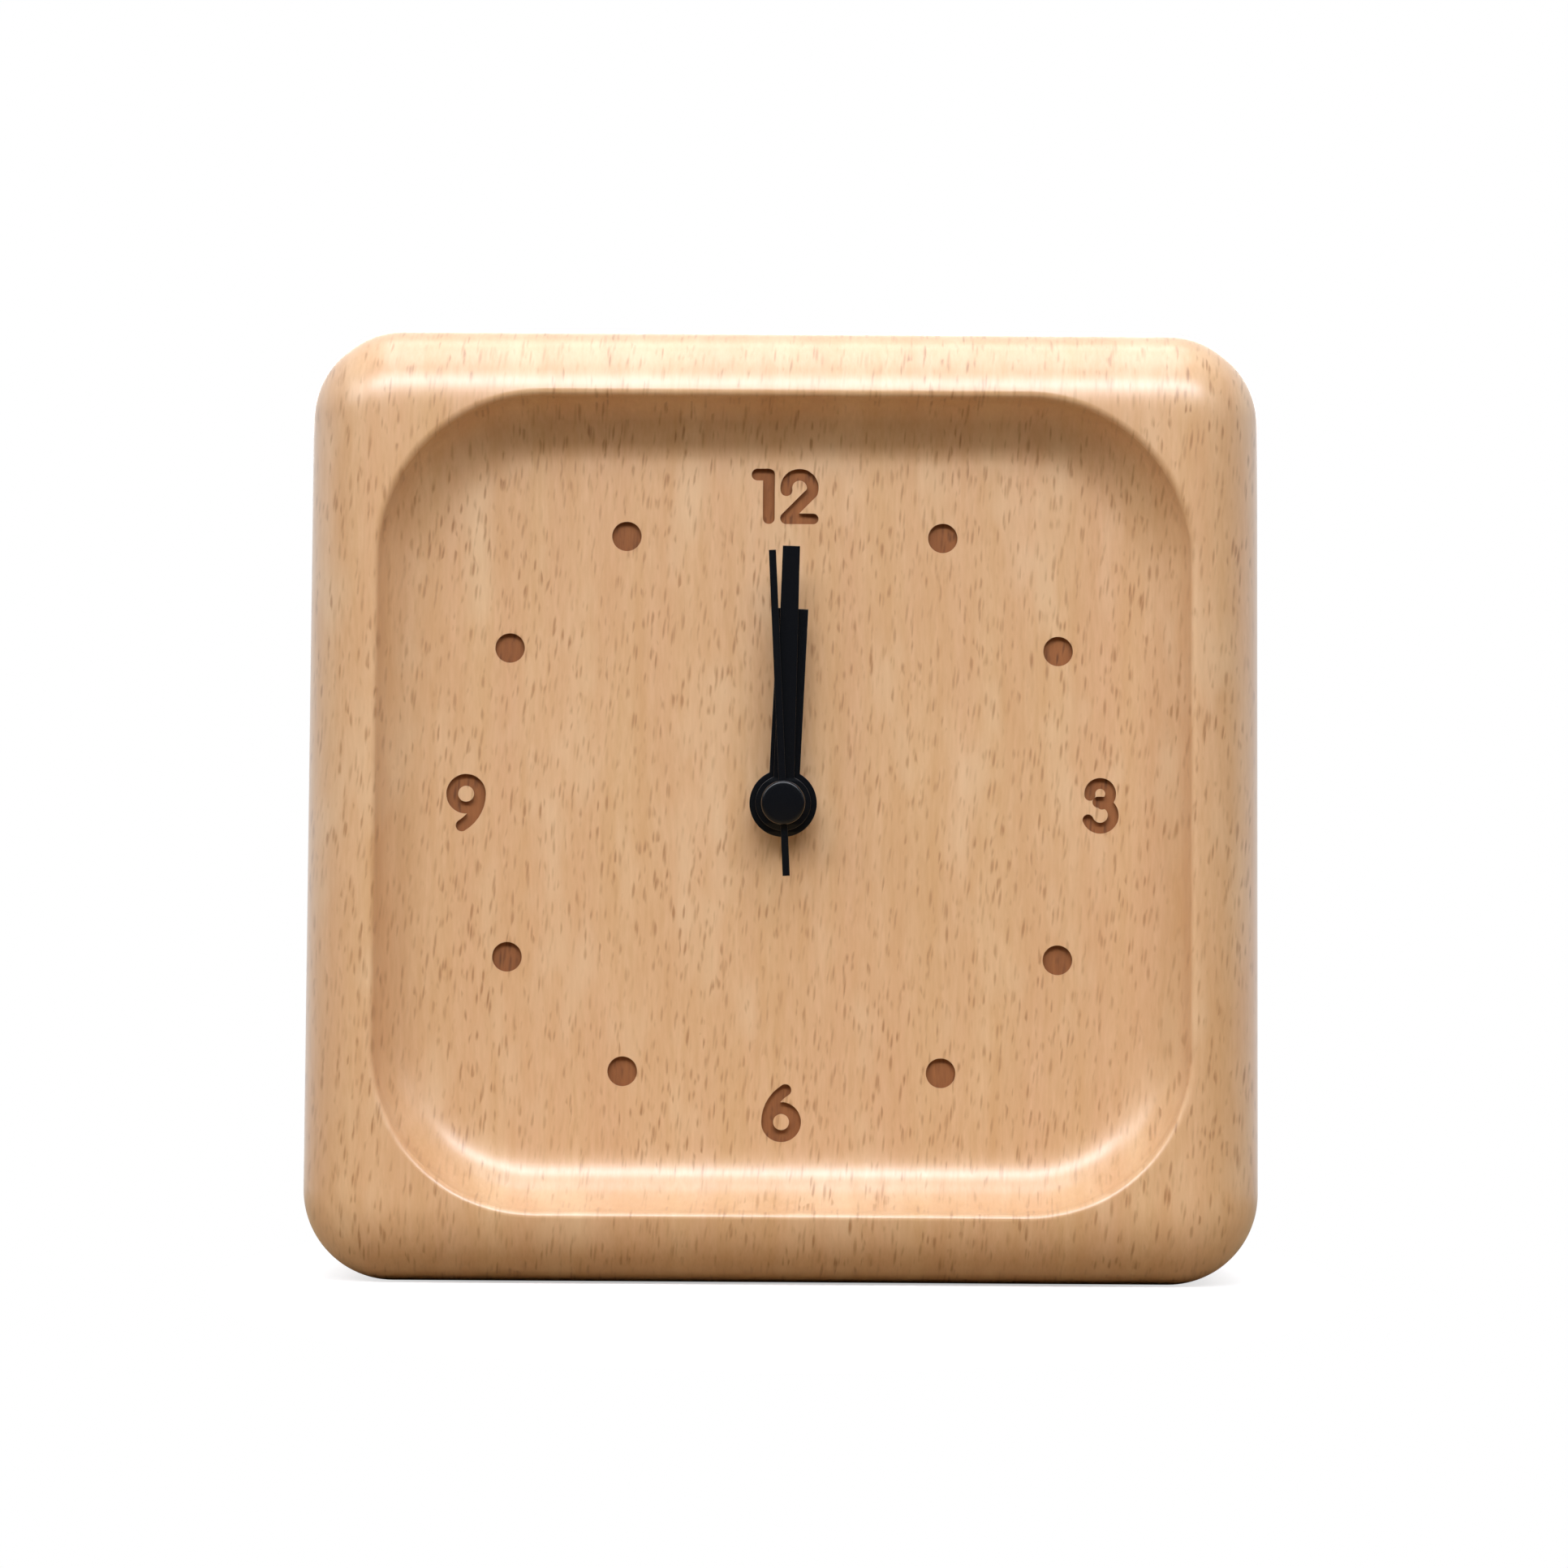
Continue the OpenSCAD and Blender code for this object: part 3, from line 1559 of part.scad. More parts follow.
wooden_case();
rear_cover();
rear_cover_screws();
battery_cover();
movement_front_shell();
movement_rear_shell();
movement_mount_screws();
shell_screws();
middle_plate();
inner_screws();
alarm_wheel();
alarm_idler();
alarm_shaft();
alarm_knob();
alarm_hand();
hour_wheel();
hour_hand();
transfer_wheel();
time_shaft();
time_knob();
centre_wheel();
minute_hand();
third_wheel();
seconds_wheel();
second_hand();
second_hand_cap();
intermediate_wheel();
rotor_arbor();
rotor_magnet();
stator();
coil_core();
coil_bobbin();
coil_winding();
circuit_board();
timing_crystal();
chip_cover();
alarm_contact_spring();
buzzer();
alarm_switch();
switch_contact();
battery();
positive_contact();
negative_contact();
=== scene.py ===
"""Looks of a square beech alarm clock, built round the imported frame.

Sizes are written in millimetres and turned to metres by MM. X runs right, Y from the dial to the back, Z up.
"""

import contextlib
import json
import math

import bmesh
import bpy
from bpy.props import FloatProperty, FloatVectorProperty, PointerProperty
from mathutils import Euler, Matrix, Vector


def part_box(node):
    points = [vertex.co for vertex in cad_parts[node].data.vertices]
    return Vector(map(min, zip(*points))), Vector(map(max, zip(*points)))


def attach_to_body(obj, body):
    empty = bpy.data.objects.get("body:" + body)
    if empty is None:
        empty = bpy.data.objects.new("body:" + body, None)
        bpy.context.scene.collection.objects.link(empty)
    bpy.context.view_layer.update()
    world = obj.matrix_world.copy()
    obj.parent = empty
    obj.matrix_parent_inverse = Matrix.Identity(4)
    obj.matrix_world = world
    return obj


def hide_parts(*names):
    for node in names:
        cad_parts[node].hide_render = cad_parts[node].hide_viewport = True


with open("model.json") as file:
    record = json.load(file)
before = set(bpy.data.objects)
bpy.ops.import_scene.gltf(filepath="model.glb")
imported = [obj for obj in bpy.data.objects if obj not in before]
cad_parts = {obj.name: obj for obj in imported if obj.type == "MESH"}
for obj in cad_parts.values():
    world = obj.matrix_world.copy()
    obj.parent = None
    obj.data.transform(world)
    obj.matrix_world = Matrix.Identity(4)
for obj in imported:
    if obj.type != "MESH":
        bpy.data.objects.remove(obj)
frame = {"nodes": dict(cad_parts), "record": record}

bl_info = {
    "name": "Beech Alarm Clock",
    "version": (1, 0, 0),
    "blender": (4, 5, 0),
    "location": "View3D > Sidebar > Clock",
    "description": "Builds the wooden case, hands, back and stage of a square alarm clock",
    "category": "Add Mesh",
}

MM = 0.001
NODES = frame["nodes"]
CASE_LOW, CASE_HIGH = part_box("wooden_case")
FRONT_Y = CASE_LOW.y / MM
BACK_Y = CASE_HIGH.y / MM
AXIS_Z = (CASE_LOW.z + CASE_HIGH.z) / 2 / MM
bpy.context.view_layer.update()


# Meshes


def new_object(name, mesh=None):
    """An object in the scene, of the mesh or of an empty one."""
    piece = bpy.data.objects.new(name, mesh or bpy.data.meshes.new(name))
    bpy.context.scene.collection.objects.link(piece)
    return piece


def mesh_from(name, verts, faces):
    mesh = bpy.data.meshes.new(name)
    mesh.from_pydata([tuple(v) for v in verts], [], faces)
    mesh.validate()
    mesh.update()
    return mesh


@contextlib.contextmanager
def opened(mesh):
    """A mesh open for work, written back at the end."""
    work = bmesh.new()
    work.from_mesh(mesh)
    yield work
    work.to_mesh(mesh)
    work.free()


def settle(piece):
    """The piece with the mesh that its modifiers give, or a mesh object in place of a curve."""
    bpy.context.view_layer.update()
    graph = bpy.context.evaluated_depsgraph_get()
    mesh = bpy.data.meshes.new_from_object(piece.evaluated_get(graph), depsgraph=graph)
    mesh.name = name = piece.name
    if piece.type == "MESH":
        piece.modifiers.clear()
        piece.data = mesh
        return piece
    bpy.data.objects.remove(piece)
    return new_object(name, mesh)


def modified(piece, kind, **settings):
    """Applies one modifier to the piece."""
    modifier = piece.modifiers.new("Modifier", kind)
    for name, value in settings.items():
        setattr(modifier, name, value)
    return settle(piece)


def shade(piece, sharp_deg):
    """Smooth faces with the edges sharper than the angle kept sharp, and flat faces left looking flat."""
    limit = math.radians(sharp_deg)
    with opened(piece.data) as work:
        for face in work.faces:
            face.smooth = True
        for edge in work.edges:
            edge.smooth = len(edge.link_faces) == 2 and edge.calc_face_angle(0.0) < limit
    modified(piece, "WEIGHTED_NORMAL", mode="FACE_AREA", weight=90, keep_sharp=True)


def outward(piece, weld_mm=0.0001):
    """Merges doubles and turns every face outwards."""
    with opened(piece.data) as work:
        bmesh.ops.remove_doubles(work, verts=work.verts, dist=weld_mm * MM)
        bmesh.ops.recalc_face_normals(work, faces=work.faces)
    return piece


def rounded_edges(piece, width_mm, segments, sharp_deg):
    """Rounds every edge whose faces meet at more than the angle."""
    return modified(piece, "BEVEL", width=width_mm * MM, segments=segments, limit_method="ANGLE",
                    angle_limit=math.radians(sharp_deg), miter_outer="MITER_ARC", use_clamp_overlap=True)


def dress(piece, *materials):
    """Gives a piece, or a carried-over CAD node, its materials in slot order."""
    piece.data.materials.clear()
    for material in materials:
        piece.data.materials.append(material)


def attach(piece, body, node):
    """Puts the piece on its body in place of the CAD node."""
    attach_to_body(piece, body)
    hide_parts(node)


def finish_piece(piece, body, slot, node, sharp_deg=32.0):
    dress(piece, FINISHES[slot])
    shade(piece, sharp_deg)
    attach(piece, body, node)


def circle_points(radius, count, start=0.0, sweep=360.0, centre=(0.0, 0.0)):
    """Points on an arc; a full turn doesn't repeat its first one."""
    steps = count if sweep == 360.0 else count - 1
    angles = [math.radians(start + sweep * i / steps) for i in range(count)]
    return [(centre[0] + radius * math.cos(a), centre[1] + radius * math.sin(a)) for a in angles]


def turned(points, clockwise_deg, lift=0.0):
    """Points in X and Z turned about the origin and then lifted."""
    a = math.radians(-clockwise_deg)
    return [(x * math.cos(a) - z * math.sin(a), lift + x * math.sin(a) + z * math.cos(a)) for x, z in points]


def plate(name, loops, y0, y1, edge=0.05):
    """A flat plate between two depths from closed outlines in X and Z, inner ones being holes."""
    curve = bpy.data.curves.new(name, "CURVE")
    curve.dimensions = "2D"
    curve.fill_mode = "BOTH"
    curve.extrude = ((y1 - y0) / 2 - edge) * MM
    curve.bevel_depth = edge * MM
    curve.bevel_resolution = 2
    curve.offset = -edge * MM
    for points in loops:
        spline = curve.splines.new("POLY")
        spline.points.add(len(points) - 1)
        for point, (x, z) in zip(spline.points, points):
            point.co = (x * MM, z * MM, 0.0, 1.0)
        spline.use_cyclic_u = True
    piece = settle(new_object(name, curve))
    upright = Matrix.Rotation(math.radians(90), 4, "X")
    piece.data.transform(Matrix.Translation((0, (y0 + y1) / 2 * MM, 0)) @ upright)
    return outward(piece)


def lathe(name, profile, centre=(0.0, 0.0), segments=72):
    """A closed turned piece about an axis along Y, from (radius, depth) points in millimetres."""
    verts, faces, rings = [], [], []
    for radius, depth in profile:
        ring = circle_points(radius, segments, centre=centre) if radius else [centre]
        rings.append(list(range(len(verts), len(verts) + len(ring))))
        verts += [(x * MM, depth * MM, z * MM) for x, z in ring]
    for low, high in zip(rings, rings[1:]):
        for i in range(segments):
            j = (i + 1) % segments
            corners = [low[i % len(low)], low[j % len(low)], high[j % len(high)], high[i % len(high)]]
            face = list(dict.fromkeys(corners))
            if len(face) > 2:
                faces.append(face)
    return outward(new_object(name, mesh_from(name, verts, faces)))


def prism(name, points, y0, y1):
    """A straight prism between two depths over an outline in X and Z."""
    verts = [(x * MM, y * MM, z * MM) for y in (y0, y1) for x, z in points]
    n = len(points)
    faces = [list(range(n)), list(range(2 * n - 1, n - 1, -1))]
    faces += [[i, (i + 1) % n, n + (i + 1) % n, n + i] for i in range(n)]
    return outward(new_object(name, mesh_from(name, verts, faces)))


def joined(name, pieces):
    """One object from several, which are taken away."""
    whole = new_object(name)
    with opened(whole.data) as work:
        for piece in pieces:
            work.from_mesh(piece.data)
    for piece in pieces:
        bpy.data.objects.remove(piece)
    return whole


def cut(piece, cutter):
    """Takes the cutter's solids, which may overlap each other, out of the piece."""
    modified(piece, "BOOLEAN", operation="DIFFERENCE", solver="EXACT", use_self=True, object=cutter)
    bpy.data.objects.remove(cutter)


def softened_copy(node, name, width_mm):
    """A copy of a CAD node's mesh with its edges rounded a little, as moulding leaves them."""
    piece = new_object(name, NODES[node].data.copy())
    with opened(piece.data) as work:
        bmesh.ops.remove_doubles(work, verts=work.verts, dist=0.002 * MM)
        bmesh.ops.dissolve_limit(work, angle_limit=math.radians(0.5), verts=work.verts, edges=work.edges)
    return rounded_edges(piece, width_mm, 2, 40.0)


# Node trees


def linear(hex_colour):
    """An sRGB colour written as six hex digits, as linear red, green, blue and an alpha of one."""
    values = [int(hex_colour[i:i + 2], 16) / 255 for i in (0, 2, 4)]
    return tuple(v / 12.92 if v <= 0.04045 else ((v + 0.055) / 1.055) ** 2.4 for v in values) + (1.0,)


def feed(node, inputs):
    """Sets inputs by name or number to a plain value, an output, or a node, which gives its first output."""
    for key, value in inputs.items():
        if isinstance(value, bpy.types.Node):
            value = next(output for output in value.outputs if output.enabled)
        if isinstance(value, bpy.types.NodeSocket):
            node.id_data.links.new(value, node.inputs[key])
        else:
            node.inputs[key].default_value = value


def add_node(tree, kind, *inputs, **settings):
    """One node with its settings and inputs, in the order in which it shows them or by name in one dict."""
    node = tree.nodes.new(kind)
    for name, value in settings.items():
        setattr(node, name, value)
    if inputs and isinstance(inputs[0], dict):
        feed(node, inputs[0])
    else:
        shown = [number for number, socket in enumerate(node.inputs) if socket.enabled]
        feed(node, dict(zip(shown, inputs)))
    return node


def work_out(tree, values, steps):
    """Adds a value for each step, which is (its name, operation, terms).

    A term is a number, the name of a value, or a step without a name.
    """
    def found(term):
        if isinstance(term, tuple):
            return add_node(tree, "ShaderNodeMath", *map(found, term[1:]), operation=term[0])
        return values[term] if isinstance(term, str) else term

    for name, *formula in steps:
        values[name] = found(tuple(formula))


def new_tree(name, **inputs):
    """A geometry node tree and its inputs by name, which are listed by the kind of their sockets."""
    tree = bpy.data.node_groups.new(name, "GeometryNodeTree")
    for kind, labels in {"Geometry": ["Geometry"], **inputs, "Material": ["Finish"]}.items():
        for label in labels:
            tree.interface.new_socket(label, in_out="INPUT", socket_type=f"NodeSocket{kind}")
    tree.interface.new_socket("Geometry", in_out="OUTPUT", socket_type="NodeSocketGeometry")
    return tree, dict(add_node(tree, "NodeGroupInput").outputs.items())


def close_tree(tree, geometry, finish):
    """Ends a tree in real geometry of one finish."""
    real = add_node(tree, "GeometryNodeRealizeInstances", geometry)
    finished = add_node(tree, "GeometryNodeSetMaterial", {"Geometry": real, "Material": finish})
    add_node(tree, "NodeGroupOutput", finished)
    return tree


def shaped(piece, tree, values):
    """Runs a geometry node tree on the piece, with its inputs set by their identifiers."""
    modifier = piece.modifiers.new("Shape", "NODES")
    modifier.node_group = tree
    for item in tree.interface.items_tree:
        if item.in_out == "INPUT" and item.name in values:
            modifier[item.identifier] = values[item.name]
    return settle(piece)


# Materials


# the pale colours are painted sheen, not a tone of the wood: lighter patches that stand in for light reflected off
# it; the engraved wood uses its light tone for them
BEECH = {"dark": "CEA06F", "light": "DEB78C", "warm": "D9A983", "fibre": "BF8E5C", "fleck": "9C6838",
         "pale": "EACDA8"}
ENGRAVED = {"dark": "824F29", "light": "A5683A", "warm": "90562D", "fibre": "6B3E20", "fleck": "58331A",
            "pale": "A5683A"}
# mottlings laid on the dark tone: tone, size in mm across, deep and along the grain, detail, roughness, the values
# between which it shows, and its most
WOOD_LAYERS = (
    ("light", (2.2, 14.0, 26.0), 3.0, 0.6, 0.25, 0.75, 1.0),
    ("warm", (4.0, 18.0, 40.0), 1.0, 0.5, 0.30, 0.70, 0.5),
    ("fibre", (0.42, 0.9, 3.0), 3.0, 0.65, 0.30, 0.70, 0.4),
    # pale: painted sheen, lighter and less saturated patches in the colour that stand in for light reflected off the
    # lacquered wood
    ("pale", (5.0, 20.0, 15.0), 2.0, 0.6, 0.52, 0.75, 0.34),
)
# sets of flecks: width and height of a fleck's cell in mm, lean in degrees, share of the cell, and own place
FLECK_SETS = ((0.52, 3.6, 4.0, 0.32, 0.0), (0.66, 4.6, 6.5, 0.30, 17.3), (0.88, 4.4, 2.5, 0.27, 41.9))
# what thins the flecks out: size in mm, detail, the values between which they come up, and the least
FLECK_LIMITS = (
    ((7.0, 7.0, 12.0), 1.0, 0.3, 0.7, 0.5),
    # a ray is only a few millimetres long, so on the sides it shows as a short flake
    ((0.8, 1.9, 1.8), 0.0, 0.42, 0.56, 0.0),
)
FLECK_CORE = 0.3
FLECK_STRENGTH = 0.88
GRAIN_WANDER = 1.0
# most of a mottling's values lie between these
MIDDLE = (0.3, 0.7)


def new_material(name, **shader_values):
    """A material, its tree and its principled shader, whose plain values are set on its own sockets."""
    material = bpy.data.materials.new(name)
    material.use_nodes = True
    shader = material.node_tree.nodes["Principled BSDF"]
    feed(shader, {key.replace("_", " "): value for key, value in shader_values.items()})
    return material, material.node_tree, shader


def feed_look(shader, colour, height, depth_mm, **more):
    """Feeds a shader its colour, its relief from a pattern of heights, and what else varies over the surface."""
    relief = add_node(shader.id_data, "ShaderNodeBump", {"Height": height, "Distance": depth_mm * MM})
    feed(shader, {"Base Color": colour, "Normal": relief, **more})


def sized(tree, sizes, place=None):
    """A place, or else the object's coordinates, divided by a pattern's size in millimetres along each axis."""
    if place is None:
        place = add_node(tree, "ShaderNodeTexCoord").outputs["Object"]
    return add_node(tree, "ShaderNodeVectorMath", place, tuple(s * MM for s in sizes), operation="DIVIDE")


def mottling(tree, sizes, detail=2.0, roughness=0.5, place=None):
    """Clouds from 0 to 1 of a size in millimetres along each axis."""
    return add_node(tree, "ShaderNodeTexNoise", {
        "Vector": sized(tree, sizes, place), "Scale": 1.0, "Detail": detail, "Roughness": roughness})


def laid_over(tree, colour, over, pattern, low, high, most=1.0):
    """A colour under another that shows more as the pattern rises between two values."""
    share = add_node(tree, "ShaderNodeMapRange", pattern, low, high, 0.0, most)
    return add_node(tree, "ShaderNodeMix", share, colour, over, data_type="RGBA")


def grain_place(tree):
    """Object coordinates whose X wanders a little, so that the grain isn't ruled straight."""
    place = add_node(tree, "ShaderNodeTexCoord").outputs["Object"]
    aside = add_node(tree, "ShaderNodeMapRange", mottling(tree, (22.0, 60.0, 38.0), 1.0), 0.0, 1.0,
                     -GRAIN_WANDER * MM, GRAIN_WANDER * MM)
    offset = add_node(tree, "ShaderNodeCombineXYZ", aside)
    return add_node(tree, "ShaderNodeVectorMath", place, offset, operation="ADD")


def flecks(tree, place, width, height, lean_deg, size, shift):
    """Spindle-shaped ends of the rays that run through the wood from front to back, each of its own strength."""
    c, s = math.cos(math.radians(lean_deg)) / MM, math.sin(math.radians(lean_deg)) / MM
    across, along = (add_node(tree, "ShaderNodeVectorMath", place, way, operation="DOT_PRODUCT")
                     for way in ((c / width, 0.0, -s / width), (s / height, 0.0, c / height)))
    spot = add_node(tree, "ShaderNodeCombineXYZ", across, along)
    moved = add_node(tree, "ShaderNodeVectorMath", spot, (shift, shift * 0.7, 0.0), operation="ADD")
    cells = add_node(tree, "ShaderNodeTexVoronoi", {"Vector": moved, "Scale": 1.0, "Randomness": 1.0},
                     feature="F1", voronoi_dimensions="2D")
    own = add_node(tree, "ShaderNodeSeparateColor", cells.outputs["Color"])
    shape = add_node(tree, "ShaderNodeMapRange", cells, size * FLECK_CORE, size, 1.0, 0.0)
    # about one cell in seven stays without a fleck
    strength = add_node(tree, "ShaderNodeMapRange", own, 0.15, 1.0, 0.0, FLECK_STRENGTH)
    return add_node(tree, "ShaderNodeMath", shape, strength, operation="MULTIPLY")


def wood_colour(tree, tones):
    """Colour, fleck strength and fibres of steamed beech whose grain runs up Z and whose rays run along Y."""
    place = grain_place(tree)
    colour, patterns = tones["dark"], {}
    # the pale layer among these paints sheen into the colour: lighter patches in place of light reflected off the
    # wood
    for tone, sizes, detail, roughness, *span in WOOD_LAYERS:
        patterns[tone] = mottling(tree, sizes, detail, roughness, place)
        colour = laid_over(tree, colour, tones[tone], patterns[tone], *span)
    strength = 0.0
    for fleck_set in FLECK_SETS:
        strength = add_node(tree, "ShaderNodeMath", strength, flecks(tree, place, *fleck_set),
                            operation="MAXIMUM")
    for sizes, detail, low, high, least in FLECK_LIMITS:
        share = add_node(tree, "ShaderNodeMapRange", mottling(tree, sizes, detail, place=place), low, high,
                         least, 1.0)
        strength = add_node(tree, "ShaderNodeMath", strength, share, operation="MULTIPLY")
    colour = add_node(tree, "ShaderNodeMix", strength, colour, tones["fleck"], data_type="RGBA")
    return colour, strength, patterns["fibre"]


def lacquered_beech(light):
    """Steamed beech under satin clear lacquer: warm pale wood, short dark upright flecks, a soft broad shine."""
    material, tree, shader = new_material("satin_lacquered_beech", Roughness=0.5, IOR=1.5,
                                          Coat_Weight=1.0, Coat_IOR=1.6, Coat_Roughness=0.28)
    tones = {name: linear(colour) for name, colour in BEECH.items()}
    colour, strength, fibres = wood_colour(tree, {**tones, "light": tuple(light)})
    grain = add_node(tree, "ShaderNodeMath", strength, fibres, operation="SUBTRACT")
    height = add_node(tree, "ShaderNodeMapRange", grain, -1.0, 1.0, 1.0, 0.0)
    feed_look(shader, colour, height, 0.015)
    return material


def engraved_beech():
    """Wood burnt by engraving: matt brown, the grain still showing through."""
    material, tree, shader = new_material("engraved_beech", Roughness=0.75, IOR=1.45)
    colour, _, fibres = wood_colour(tree, {name: linear(colour) for name, colour in ENGRAVED.items()})
    feed_look(shader, colour, fibres, 0.04)
    return material


def textured(shader, hex_colour, darker_by, clouds, grain, roughness_span, depth_mm):
    """Feeds a shader a colour mottled by one pattern, and roughness and relief from another."""
    tree, base = shader.id_data, linear(hex_colour)
    darker = tuple(c * (1 - darker_by) for c in base[:3]) + (1.0,)
    colour = add_node(tree, "ShaderNodeMix", clouds, darker, base, data_type="RGBA")
    feed_look(shader, colour, grain, depth_mm,
              Roughness=add_node(tree, "ShaderNodeMapRange", grain, *MIDDLE, *roughness_span))


def plain_finish(name, hex_colour, roughness, grain_mm, grain_depth, darker_by, **values):
    """A moulded or painted surface: even colour with a trace of mottling, and a fine grain in its shine."""
    material, tree, shader = new_material(name, Roughness=roughness, **values)
    textured(shader, hex_colour, darker_by, mottling(tree, (6.0, 6.0, 6.0)), mottling(tree, (grain_mm,) * 3),
             (roughness * 0.92, min(1.0, roughness * 1.08)), grain_depth)
    return material


def worked_metal(name, hex_colour, roughness, streak=(0.08, 0.08, 2.0)):
    """Plated or rolled metal: fine streaks, of a size in millimetres, along the way it was worked."""
    material, tree, shader = new_material(name, Metallic=1.0, Roughness=roughness)
    lines = mottling(tree, streak, 3.0)
    textured(shader, hex_colour, 0.12, lines, lines, (roughness * 0.8, roughness * 1.25), 0.004)
    return material


def enamelled_winding(turn_mm=0.25):
    """Enamelled copper wire wound round the coil: red-brown turns, with painted shade in the grooves between them.

    The real wire is 0.04 mm thick, and is drawn coarser so that it shows.
    """
    material, tree, shader = new_material("enamelled_copper_wire", Metallic=1.0, Roughness=0.32)
    # at a scale of one, a wave's bands are 2 pi / 20 units apart
    turns = add_node(tree, "ShaderNodeTexWave", {
        "Vector": sized(tree, (1.0, 1.0, 1.0)), "Scale": 2 * math.pi / 20 / turn_mm, "Distortion": 0.3,
    }, wave_type="BANDS", bands_direction="X").outputs["Fac"]
    # the dark colour in the grooves between turns is painted shade; the bump gives the turns their relief
    colour = add_node(tree, "ShaderNodeMix", turns, linear("6E2E12"), linear("B9623A"), data_type="RGBA")
    feed_look(shader, colour, turns, 0.05)
    return material


def circuit_laminate():
    """Glass-fibre laminate under green solder mask: weave and faint tracks show through the gloss."""
    material, tree, shader = new_material("green_circuit_laminate", Roughness=0.35, IOR=1.5, Coat_Weight=0.3)
    weave = add_node(tree, "ShaderNodeTexChecker", {
        "Vector": sized(tree, (0.5, 50.0, 0.5)), "Scale": 1.0,
        "Color1": linear("14532F"), "Color2": linear("185C36")})
    cells = add_node(tree, "ShaderNodeTexVoronoi", {"Vector": sized(tree, (4.0, 50.0, 4.0)), "Scale": 1.0},
                     feature="DISTANCE_TO_EDGE")
    tracks = add_node(tree, "ShaderNodeMapRange", cells, 0.05, 0.08, 1.0, 0.0)
    colour = add_node(tree, "ShaderNodeMix", tracks, weave, linear("2E7A48"), data_type="RGBA")
    feed_look(shader, colour, tracks, 0.02)
    return material


def cell_sleeve():
    """Shrunk film sleeve of a dry cell: dark green with a copper-coloured end and bare steel end faces."""
    material, tree, shader = new_material("shrunk_film_sleeve", Roughness=0.3)
    low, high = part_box("battery")
    place = add_node(tree, "ShaderNodeTexCoord").outputs["Object"]
    along = add_node(tree, "ShaderNodeSeparateXYZ", place).outputs["X"]
    # where along X the copper band and the two steel ends begin
    band, top, bottom = (add_node(tree, "ShaderNodeMapRange", along, *span) for span in (
        (high.x - 13.6 * MM, high.x - 13.4 * MM), (high.x - 2.4 * MM, high.x - 2.1 * MM),
        (low.x + 0.5 * MM, low.x + 0.4 * MM)))
    bare = add_node(tree, "ShaderNodeMath", top, bottom, operation="MAXIMUM")
    scuffs = mottling(tree, (3.0, 1.0, 1.0), 4.0)
    colour = add_node(tree, "ShaderNodeMix", band, linear("23513C"), linear("B8743F"), data_type="RGBA")
    colour = add_node(tree, "ShaderNodeMix", bare, colour, linear("C9C8C4"), data_type="RGBA")
    colour = laid_over(tree, colour, linear("E8E6E0"), scuffs, 0.5, 0.8, 0.12)
    feed_look(shader, colour, scuffs, 0.01,
              Metallic=add_node(tree, "ShaderNodeMath", bare, 0.45, operation="MAXIMUM"))
    return material


def make_materials(beech_light):
    """Every finish of the clock, by the name of the record's material slot.

    A plain finish has its colour, its roughness, the size and depth of its grain in mm and its mottling.
    """
    return {
        "lacquered_beech": lacquered_beech(beech_light),
        "engraved_beech": engraved_beech(),
        # satin lacquer on stamped aluminium: near black, with a faint soft shine
        "black_hands": plain_finish("satin_black_lacquer", "05080E", 0.25, 0.2, 0.002, 0.2, IOR=1.45),
        # injection-moulded ABS with a spark-eroded grain: matt and faintly speckled
        "black_rear_plastic": plain_finish("grained_black_abs", "1B1B1D", 0.55, 0.3, 0.02, 0.12, IOR=1.54),
        # the same plastic from a smoother mould: a clearer shine on the knobs
        "black_gloss_plastic": plain_finish("smooth_black_abs", "151517", 0.3, 0.4, 0.004, 0.1, IOR=1.54),
        # uncoloured polystyrene of the movement's shells: creamy, half shiny
        "ivory_plastic": plain_finish("ivory_polystyrene", "D9D3BF", 0.38, 0.5, 0.006, 0.04, IOR=1.59),
        # moulded acetal of the wheels: white and waxy
        "white_acetal": plain_finish("white_acetal", "E4E3DC", 0.35, 0.4, 0.004, 0.03, IOR=1.48),
        # drawn or rolled metals: grey, warm grey, yellow, dark grey and dull grey, with fine streaks
        "zinc_plated_steel": worked_metal("zinc_plated_steel", "B9B8B2", 0.3),
        "nickel_contact": worked_metal("nickel_plated_spring_steel", "C4C0B4", 0.25),
        "brass_contact": worked_metal("rolled_brass", "C9A050", 0.28),
        "sintered_magnet": worked_metal("sintered_magnet", "4A4A4E", 0.5, (0.1, 0.1, 0.1)),
        "soft_iron": worked_metal("annealed_soft_iron", "8C8C8E", 0.4),
        # nylon bobbin: straw-coloured and dull
        "bobbin_plastic": plain_finish("nylon_bobbin", "C9B88A", 0.45, 0.4, 0.006, 0.05),
        "enamelled_copper": enamelled_winding(),
        "green_circuit_board": circuit_laminate(),
        # cast epoxy over the chip: black, glossy, slightly uneven
        "black_resin": plain_finish("cast_black_resin", "121212", 0.22, 0.8, 0.02, 0.1),
        "cell_sleeve": cell_sleeve(),
    }


# Wooden case


CASE = {
    "half": (CASE_HIGH.x - CASE_LOW.x) / 2 / MM, "corner_r": 9.5, "crown_r": 9.0, "crown_from_deg": 42,
    "back_r": 1.5, "mouth_half": 42.25, "mouth_r": 17.0, "dish_depth": 6.75, "cove_r": 6.4, "cove_to_deg": 84,
    "mouth_round": 0.8, "hole_r": 3.2, "web": 5.0, "rebate_half": 40.2, "rebate_r": 8.2, "rebate_y": 17.5,
    "pocket_half": 35.0, "pocket_r": 10.0, "arris": 0.25, "border": 0.3,
}
